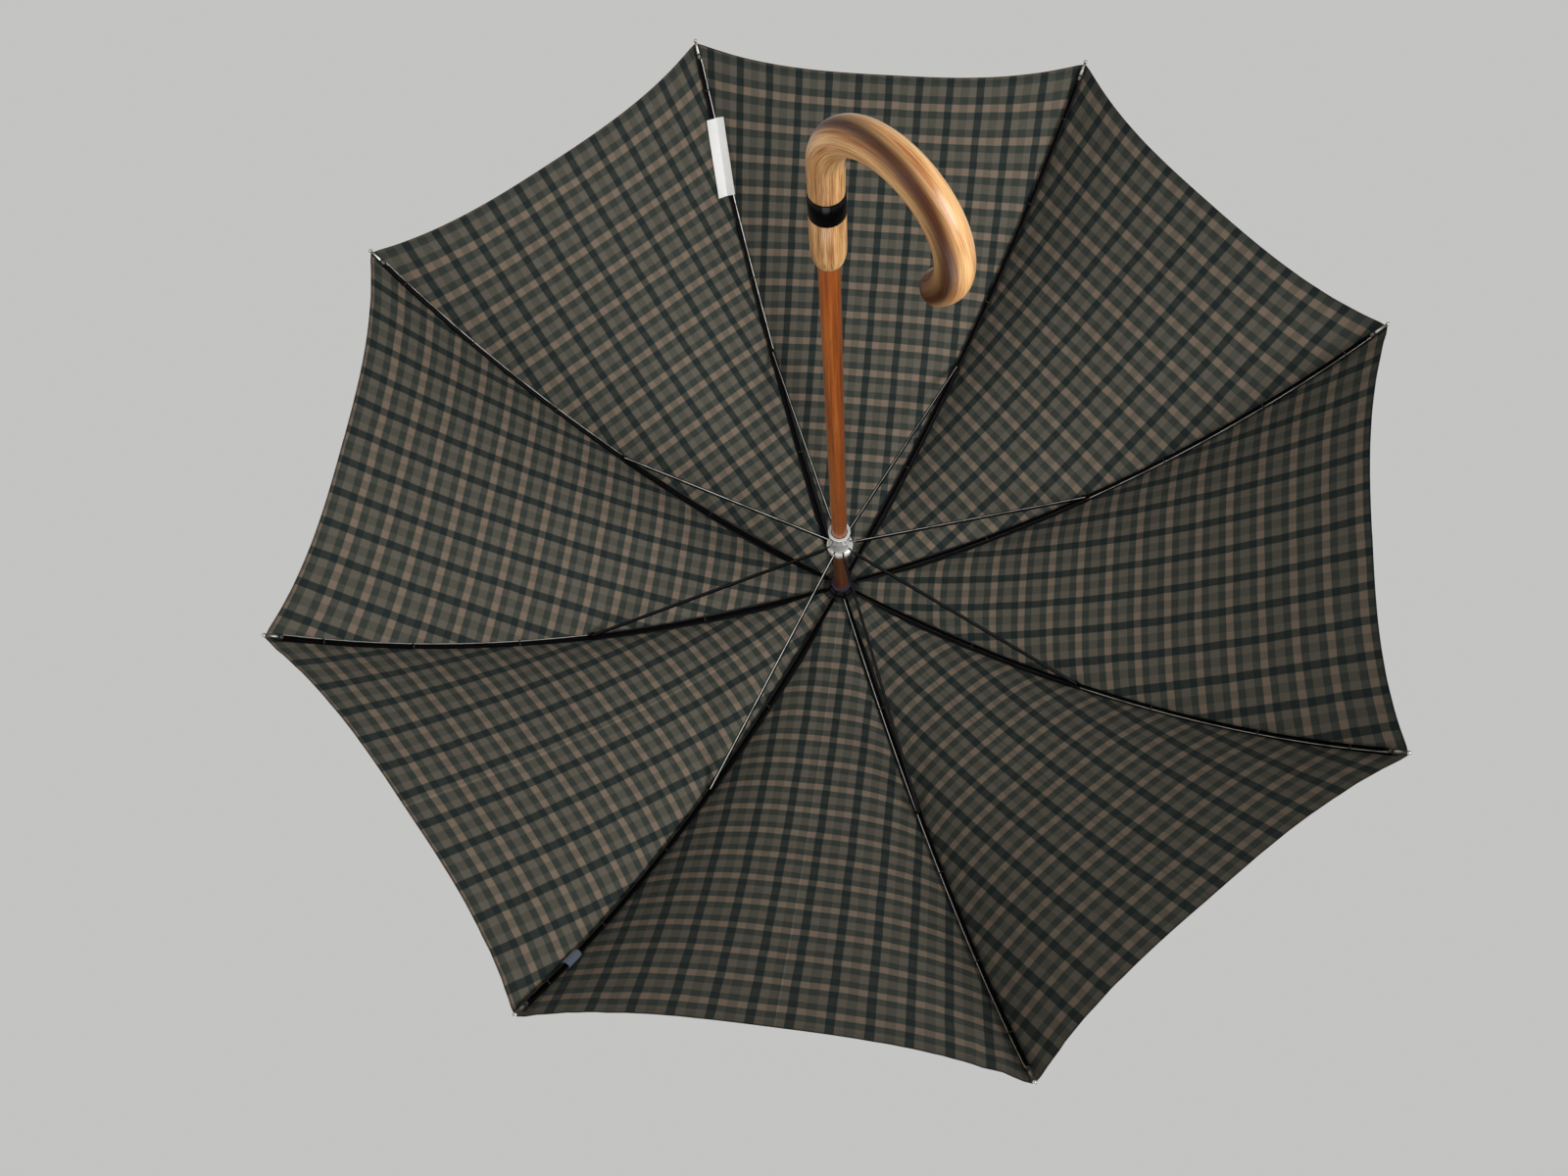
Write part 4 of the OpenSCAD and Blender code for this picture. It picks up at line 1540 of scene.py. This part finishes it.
@dataclass
class Trim:
    """The care label, the strap with its tab, and the rosette under the crown."""

    finishes: Finishes
    canopy: Canopy
    label_at: float = 0.440
    label_length: float = 0.080
    label_width: float = 0.018
    strap_at: float = 0.510
    strap_width: float = 0.022
    tab_length: float = 0.020
    tab_r: float = 0.0036
    tab_round: float = 0.0226

    def build(self) -> None:
        """Builds the trim."""
        self.label()
        self.strap()
        self.tab()
        self.snap()
        self.rosette()

    def label(self) -> None:
        """White ribbon folded lengthwise, sewn at the seam and hanging under its rib."""

        def shape(across: float, along: float) -> tuple[Point, tuple[float, float]]:
            """Place and UV of a point of the label."""
            s = self.label_at + self.label_length * along
            beyond = across - 8 / 14
            fall = beyond * 0.015 if beyond > 0 else -beyond * (0.0030 + 0.0085 * (1 - along))
            curl = 0.0004 * math.sin(along * 11) + 0.0003 * math.sin(across * 6 + along * 4)
            out = -RIB.height / 2 - 0.0005 - fall * (1 - 0.6 * along) + curl * (0.3 + along)
            side = (across - 0.5) * self.label_width + 0.0015 * along - 0.0060 * (1 - along)
            return RIB.place(LABEL_RIB, s, side, out), (across, along)

        label = grid_sheet("care_ribbon", 14, 40, shape)
        modify(label, "SOLIDIFY", thickness=0.0003, offset=0.0)
        smooth(label, 9)
        body = rib_body(LABEL_RIB, True)
        finish_piece(label, body, self.finishes.ribbon, Role.TRIM, ["care_label"])

    def strap(self) -> None:
        """Strap of the same cloth, lying flat on the outside."""
        surface = self.canopy.surface
        rows, columns = 8, 44

        def shape(across: float, along: float) -> tuple[Point, tuple[float, float]]:
            """Place and UV of a point of the strap."""
            v = 0.03 + 0.89 * across
            ripple = 0.0003 * math.sin(across * 21) + 0.0002 * math.sin(across * 47 + along * 2)
            rounded = max(0.0, across - 0.94) / 0.06
            pinch = 1 - 0.35 * rounded**2
            u = surface.u_at(self.strap_at + (along - 0.5) * self.strap_width * pinch)
            point = self.canopy.place(STRAP_RIB, 1, u, v, 0.0015 + ripple)
            return point, (along * self.strap_width, across * 0.18)

        strap = grid_sheet("tie_strap_cloth", columns, rows, shape)
        modify(strap, "SOLIDIFY", thickness=0.0010, offset=-1.0)
        bevel(strap, 0.0003, 50)
        smooth(strap, 50)
        body = f"rib_outer_{STRAP_RIB}"
        finish_piece(strap, body, self.finishes.cloth, Role.TRIM, ["tie_strap"])
        self.gather(strap)

    def gather(self, piece: bpy.types.Object) -> None:
        """Gives a piece on the strap's half gore a mesh of its own, through the cloth's fold."""
        u = self.canopy.surface.u_at(self.strap_at)
        span = next(s for s in self.canopy.spans("outer") if s[0] <= u <= s[1])
        self.canopy.fold(piece, STRAP_RIB, 1, *span)

    def tab(self) -> None:
        """Shiny ribbon loop that holds the strap's end round its rib."""
        deselect()
        bpy.ops.mesh.primitive_cylinder_add(
            vertices=28, radius=self.tab_r, depth=self.tab_length, end_fill_type="NOTHING"
        )
        tab = bpy.context.object
        tab.name = "strap_tab"
        stretch(tab, (0.72, 1.12, 1), cuts=3)
        for vertex in tab.data.vertices:
            vertex.co.x += 0.0002 * math.sin(vertex.co.z * 500 + vertex.co.y * 900)
        modify(tab, "SOLIDIFY", thickness=0.0004, offset=-1.0)
        below = Matrix.Translation((0, 0, -0.0003))
        settle(tab, RIB.matrix(STRAP_RIB, self.strap_at) @ below @ LYING)
        smooth(tab, 50)
        finish_piece(tab, f"rib_outer_{STRAP_RIB}", self.finishes.tab, Role.TRIM)

    def snap(self) -> None:
        """Press stud near the strap's free end."""
        snap = turned(
            "strap_snap",
            [(0.0001, 0.0), (0.0058, 0.0)]
            + arc((0.0052, 0.0006), 0.0006, -60, 90, 4)
            + [(0.0036, 0.0012), (0.0030, 0.0008), (0.0018, 0.0008)]
            + [(0.0012, 0.0014), (0.0001, 0.0015)],
            32,
        )
        surface = self.canopy.surface
        u = surface.u_at(self.strap_at)
        place = Vector(self.canopy.place(STRAP_RIB, 1, u, 0.84, 0.0026))
        ahead = Vector(self.canopy.place(STRAP_RIB, 1, u, 0.88, 0.0026)) - place
        beyond = Vector(self.canopy.place(STRAP_RIB, 1, u + 0.02, 0.84, 0.0026)) - place
        up = beyond.cross(ahead).normalized()
        axes = Matrix((ahead.normalized(), up.cross(ahead.normalized()), up)).transposed().to_4x4()
        settle(snap, Matrix.Translation(place) @ axes)
        smooth(snap, 40)
        finish_piece(snap, f"rib_outer_{STRAP_RIB}", self.finishes.nickel, Role.TRIM)
        self.gather(snap)

    def rosette(self) -> None:
        """Gathered black cloth between the notch and the crown."""
        low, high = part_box("rosette")
        radius = high.x
        hole_r, rings = 0.0077, 7
        radii = [hole_r + (radius - hole_r) * i / rings for i in range(rings + 1)]
        outline = [(hole_r, low.z)]
        outline += [(r, low.z - 0.0004) for r in radii[1:]]
        outline += [(r, low.z + 0.0006) for r in reversed(radii)]
        cloth = turned("rosette_cloth", outline, 96, closed=True)
        for vertex in cloth.data.vertices:
            r = math.hypot(vertex.co.x, vertex.co.y)
            share = max(0.0, (r - 0.0135) / (radius - 0.0135))
            angle = math.atan2(vertex.co.y, vertex.co.x)
            pleat = math.sin(angle * 24 + 2 * math.sin(angle * 3))
            vertex.co.z += 0.0005 * share * pleat
            vertex.co.x *= 1 + 0.03 * share * math.sin(angle * 11)
            vertex.co.y *= 1 + 0.03 * share * math.sin(angle * 11)
        smooth(cloth, 60)
        finish_piece(cloth, "shaft", self.finishes.seam, Role.TRIM, ["rosette"])


# ---------------------------------------------------------------- handle


@dataclass
class Handle:
    """The crook, its band and the shaft."""

    finishes: Finishes
    radius: float = 0.0115
    neck_r: float = 0.0119
    lip_r: float = 0.0083
    shoulder: float = 0.016

    def build(self) -> None:
        """Builds the crook and band, and finishes the shaft."""
        self.crook()
        self.band()
        coat(frame["nodes"]["shaft"], self.finishes.shaft)

    def crook(self) -> None:
        """Turns the neck, then sweeps the bend and nose from its lower end."""
        bend_z = CROOK.bend_z
        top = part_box("crook_handle")[1].z
        band_low, band_high = (corner.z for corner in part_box("handle_band"))
        ring(self.radius, bend_z, 56)
        curl = CROOK.nose_curl
        for steps, angle, x in ((56, math.pi, CROOK.bend_r), (14, curl, CROOK.nose_x)):
            bpy.ops.mesh.spin(steps=steps, angle=angle, center=(x, 0, bend_z), axis=(0, 1, 0))
        ahead = Vector((-math.sin(curl), 0, math.cos(curl)))
        nose_end = CROOK.nose_x + CROOK.nose_r * math.cos(curl)
        centre = Vector((nose_end, 0, bend_z + CROOK.nose_r * math.sin(curl)))
        steps = 9
        for i in range(1, steps + 1):
            before = math.radians(88) * (i - 1) / steps
            now = math.radians(88) * i / steps
            move = ahead * self.radius * (math.sin(now) - math.sin(before))
            bpy.ops.mesh.extrude_region_move(TRANSFORM_OT_translate={"value": tuple(move)})
            scale = math.cos(now) / math.cos(before)
            middle = centre + ahead * self.radius * math.sin(now)
            bpy.ops.transform.resize(value=(scale, scale, scale), center_override=tuple(middle))
        bpy.ops.mesh.edge_face_add()
        bpy.ops.mesh.select_all(action="DESELECT")
        bpy.ops.object.mode_set(mode="OBJECT")
        crook = bpy.context.object
        for vertex in crook.data.vertices:
            flat = math.hypot(vertex.co.x, vertex.co.y)
            vertex.select = abs(vertex.co.z - bend_z) < 1e-6 and flat < self.radius * 1.01
        bpy.ops.object.mode_set(mode="EDIT")
        outline = [
            (self.radius, bend_z),
            (self.radius, band_low - 0.0002),
            (self.radius - 0.0003, band_low),
            (self.radius - 0.0003, band_high),
            (self.neck_r - 0.0001, band_high),
            (self.neck_r, band_high + 0.0002),
        ]
        shoulder_z = top - self.shoulder
        outline += [
            (
                self.lip_r + (self.neck_r - self.lip_r) * math.cos(math.radians(90 * i / 9)),
                shoulder_z + self.shoulder * math.sin(math.radians(90 * i / 9)),
            )
            for i in range(10)
        ]
        outline += [(0.0076, top), (0.0076, top - 0.004)]
        for (r0, z0), (r1, z1) in zip(outline, outline[1:]):
            extrude_ring(r0, r1, z1 - z0)
        bpy.ops.mesh.edge_face_add()
        bpy.ops.mesh.select_all(action="SELECT")
        bpy.ops.mesh.remove_doubles(threshold=1e-6)
        bpy.ops.mesh.normals_make_consistent(inside=False)
        bpy.ops.object.mode_set(mode="OBJECT")
        crook.name = "crook_wood"
        settle(crook, Matrix.Rotation(CROOK.turn, 4, "Z"))
        smooth(crook, 40)
        wood = self.finishes.crook
        finish_piece(crook, "shaft", wood, Role.HANDLE, ["crook_handle"])

    def band(self) -> None:
        """Black band, set almost flush into the wood."""
        low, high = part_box("handle_band")
        radius = self.neck_r + 0.0001
        edge = 0.0002
        outer = arc((radius - edge, low.z + edge), edge, -90, 0, 2)
        outer += arc((radius - edge, high.z - edge), edge, 0, 90, 2)
        inner = self.radius - 0.0002
        band = turned("band_ring", outer + [(inner, high.z), (inner, low.z)], 72, closed=True)
        smooth(band, 40)
        finish_piece(band, "shaft", self.finishes.band, Role.HANDLE, ["handle_band"])


# ---------------------------------------------------------------- hub, ferrule and steel


@dataclass
class Hub:
    """Runner, notch, crown cap and ferrule."""

    finishes: Finishes
    wire_r: float = 0.00045
    flange_r: float = 0.0131
    tube_r: float = 0.0104
    bore_r: float = 0.0079
    slot_width: float = 0.0018
    slot_floor: float = 0.0098

    def build(self) -> None:
        """Builds them."""
        self.runner()
        self.crown()
        self.ferrule()
        for node, finish in (
            ("top_notch", self.finishes.notch),
            ("top_spring", self.finishes.steel),
            ("bottom_spring", self.finishes.steel),
        ):
            coat(frame["nodes"][node], finish)

    def runner(self) -> None:
        """Clear slotted runner with a bright rim and the stretchers' wire."""
        low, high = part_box("runner")
        hinge_z = joint("runner_travel")["pos_m"][2]
        half = high.z - hinge_z
        rim = low.z
        edge = 0.0006
        outline = [(self.bore_r, rim + 0.0003), (self.bore_r + 0.0003, rim)]
        outline += arc((self.tube_r - 0.0002, rim + edge), edge, -90, 30, 5)
        under = hinge_z - half
        outline += [(self.tube_r - 0.0005, rim + 0.0022), (self.tube_r - 0.0005, under - 0.004)]
        outline += [(self.tube_r, under - 0.0012), (self.flange_r - edge, under)]
        outline += arc((self.flange_r - edge, under + edge), edge, -90, 0, 3)
        outline += arc((self.flange_r - edge, high.z - edge), edge, 0, 90, 3)
        outline += [(self.bore_r, high.z)]
        body = turned("runner_body", outline, 96, closed=True)
        cutters = []
        for k in range(RIBS):
            deselect()
            bpy.ops.mesh.primitive_cube_add(size=1)
            cutter = bpy.context.object
            cutter.scale = (0.010, self.slot_width, half * 3)
            cutter.location = (self.slot_floor + 0.005, 0, hinge_z)
            bpy.context.view_layer.update()
            settle(cutter, Matrix.Rotation(k * GORE, 4, "Z"))
            cutters.append(cutter)
        cut(body, join("slots", cutters))
        bevel(body, 0.00025, 50)
        smooth(body, 40)
        finish_piece(body, "runner", self.finishes.clear, Role.HUB, ["runner"])
        section = arc((self.tube_r + 0.0001, rim + 0.0003), 0.0003, 0, 345, 12)
        lip = turned("runner_rim", section, 72, closed=True)
        smooth(lip, 60)
        finish_piece(lip, "runner", self.finishes.rim, Role.HUB)
        self.wire("runner_wire", hinge_z, "runner")

    def wire(self, name: str, z: float, body: str) -> None:
        """Adds a wire ring with its two twisted ends.

        Args:
            name: The piece's name.
            z: Height of the ring.
            body: The body that it rides on.
        """
        deselect()
        bpy.ops.mesh.primitive_torus_add(
            major_segments=72,
            minor_segments=10,
            major_radius=RIB.hinge_r,
            minor_radius=self.wire_r,
            location=(0, 0, z),
        )
        ring_wire = bpy.context.object
        twist = []
        for turn in (0, math.pi):
            deselect()
            bpy.ops.mesh.primitive_cylinder_add(vertices=10, radius=self.wire_r, depth=0.003)
            end = bpy.context.object
            bpy.ops.object.mode_set(mode="EDIT")
            bpy.ops.mesh.select_all(action="SELECT")
            bpy.ops.mesh.bevel(offset=0.00015, segments=2, affect="EDGES")
            bpy.ops.object.mode_set(mode="OBJECT")
            tilt = Matrix.Rotation(0.35 if turn else -0.35, 4, "X")
            spot = Matrix.Translation((RIB.hinge_r, 0.0005 if turn else -0.0005, z + 0.0009))
            settle(end, Matrix.Rotation(HALF_GORE, 4, "Z") @ spot @ tilt)
            twist.append(end)
        settle(ring_wire)
        wire = join(name, [ring_wire, *twist])
        smooth(wire, 60)
        finish_piece(wire, body, self.finishes.steel, Role.HUB)

    def crown(self) -> None:
        """Dished cap over the canopy's hole."""
        low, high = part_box("crown_cap")
        radius = high.x
        outline = [(0.0076, low.z), (radius - 0.0004, low.z)]
        outline += arc((radius - 0.0004, low.z + 0.0004), 0.0004, -90, 80, 5)
        outline += [(radius - 0.003, high.z - 0.0003), (radius - 0.004, high.z), (0.0076, high.z)]
        cap = turned("crown_disc", outline, 72, closed=True)
        smooth(cap, 40)
        finish_piece(cap, "shaft", self.finishes.cap, Role.HUB, ["crown_cap"])

    def ferrule(self) -> None:
        """Nickel ferrule with a stepped foot, two turned rings and a rounded end."""
        low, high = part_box("ferrule")
        foot = high.x
        pin = mount("ferrule_tip")
        pin_r = pin["dims"]["r_mm"] / 1000
        pin_z = pin["pos_m"][2]
        pin_end = pin_z + pin["dims"]["length_mm"] / 1000
        outline = [(0.0050, low.z), (foot - 0.0003, low.z), (foot, low.z + 0.0003)]
        outline += [(foot, low.z + 0.0027), (foot - 0.0004, low.z + 0.0030)]
        height = pin_z - low.z - 0.003
        taper = [
            (foot + (pin_r - foot) * i / 10, low.z + 0.003 + height * i / 10)
            for i in range(1, 11)
        ]
        for index in (2, 3):
            r, z = taper[index]
            taper[index] = (r - 0.0003, z)
        outline += taper
        outline += [(pin_r, pin_end)]
        outline += arc((0, pin_end), pin_r, 8, 84, 10)
        shape = turned("ferrule_pin", outline, 64)
        smooth(shape, 30)
        finish_piece(shape, "shaft", self.finishes.nickel, Role.HUB, ["ferrule"])


@dataclass
class Steelwork:
    """Ribs, stretchers and clips of the frame, and their tips."""

    finishes: Finishes
    # Nodes whose painted highlight line is bright, then those where it is thin; the others get a faint one.
    bright: tuple[str, ...] = (
        "stretcher_1",
        "stretcher_6",
        "stretcher_8",
        "rib_5",
        "rib_outer_5",
        "rib_outer_1",
        "rib_outer_7",
    )
    thin: tuple[str, ...] = (
        "stretcher_2",
        "stretcher_3",
        "rib_outer_3",
        "rib_outer_4",
        "rib_outer_8",
    )
    tip_at: float = 0.580
    tip_r: float = 0.0019
    corner: ThreadLoop = ThreadLoop(0.0024, 0.0004, (1.0, 1.0, 2.0), 18)

    def build(self) -> None:
        """Finishes the steel and adds the tips."""
        for k in range(1, RIBS + 1):
            for node in (f"rib_{k}", f"rib_outer_{k}", f"stretcher_{k}", f"joint_clip_{k}"):
                wear = Wear.THIN if node in self.thin else Wear.DULL
                wear = Wear.BRIGHT if node in self.bright else wear
                coat(frame["nodes"][node], self.finishes.enamel[wear])
        self.tips()

    def tips(self) -> None:
        """Turns one tip and copies it to every rib."""
        length = RIB.length - self.tip_at
        r = self.tip_r
        ball = length - r
        outline = [(0.0004, 0.0003), (r - 0.0001, 0.0003), (r, 0.0005), (r, length * 0.42)]
        outline += [(r * 0.80, length * 0.5), (r * 0.72, length * 0.62)]
        outline += [(r * 0.66, ball - r * 0.80)]
        outline += arc((0, ball), r, -46, 82, 10)
        master = turned("rib_tip_cap", outline, 28)
        deselect()
        bpy.ops.mesh.primitive_cylinder_add(
            vertices=16,
            radius=0.0006,
            depth=0.01,
            location=(0, 0, ball),
            rotation=(math.pi / 2, 0, 0),
        )
        hole = bpy.context.object
        settle(hole)
        cut(master, hole)
        bevel(master, 0.00012, 60)
        smooth(master, 40)
        for k in range(1, RIBS + 1):
            tip = copy_of(master, f"tip_cap_{k}")
            settle(tip, RIB.matrix(k, self.tip_at) @ LYING)
            nickel, thread = self.finishes.nickel, self.finishes.thread
            body = rib_body(k, True)
            finish_piece(tip, body, nickel, Role.FRAME, [f"rib_tip_{k}"])
            self.corner.add(f"corner_thread_{k}", k, self.tip_at + 0.005, thread)
        bpy.data.objects.remove(master)


def main() -> None:
    """Builds the studio, then the umbrella."""
    logging.basicConfig(level=logging.INFO, format="%(name)s: %(message)s")
    Studio().build()
    surface = CanopySurface()
    finishes = Finishes()
    Steelwork(finishes).build()
    Handle(finishes).build()
    Hub(finishes).build()
    canopy = Canopy(finishes, surface)
    canopy.build()
    Trim(finishes, canopy).build()


if __name__ == "__main__":
    main()
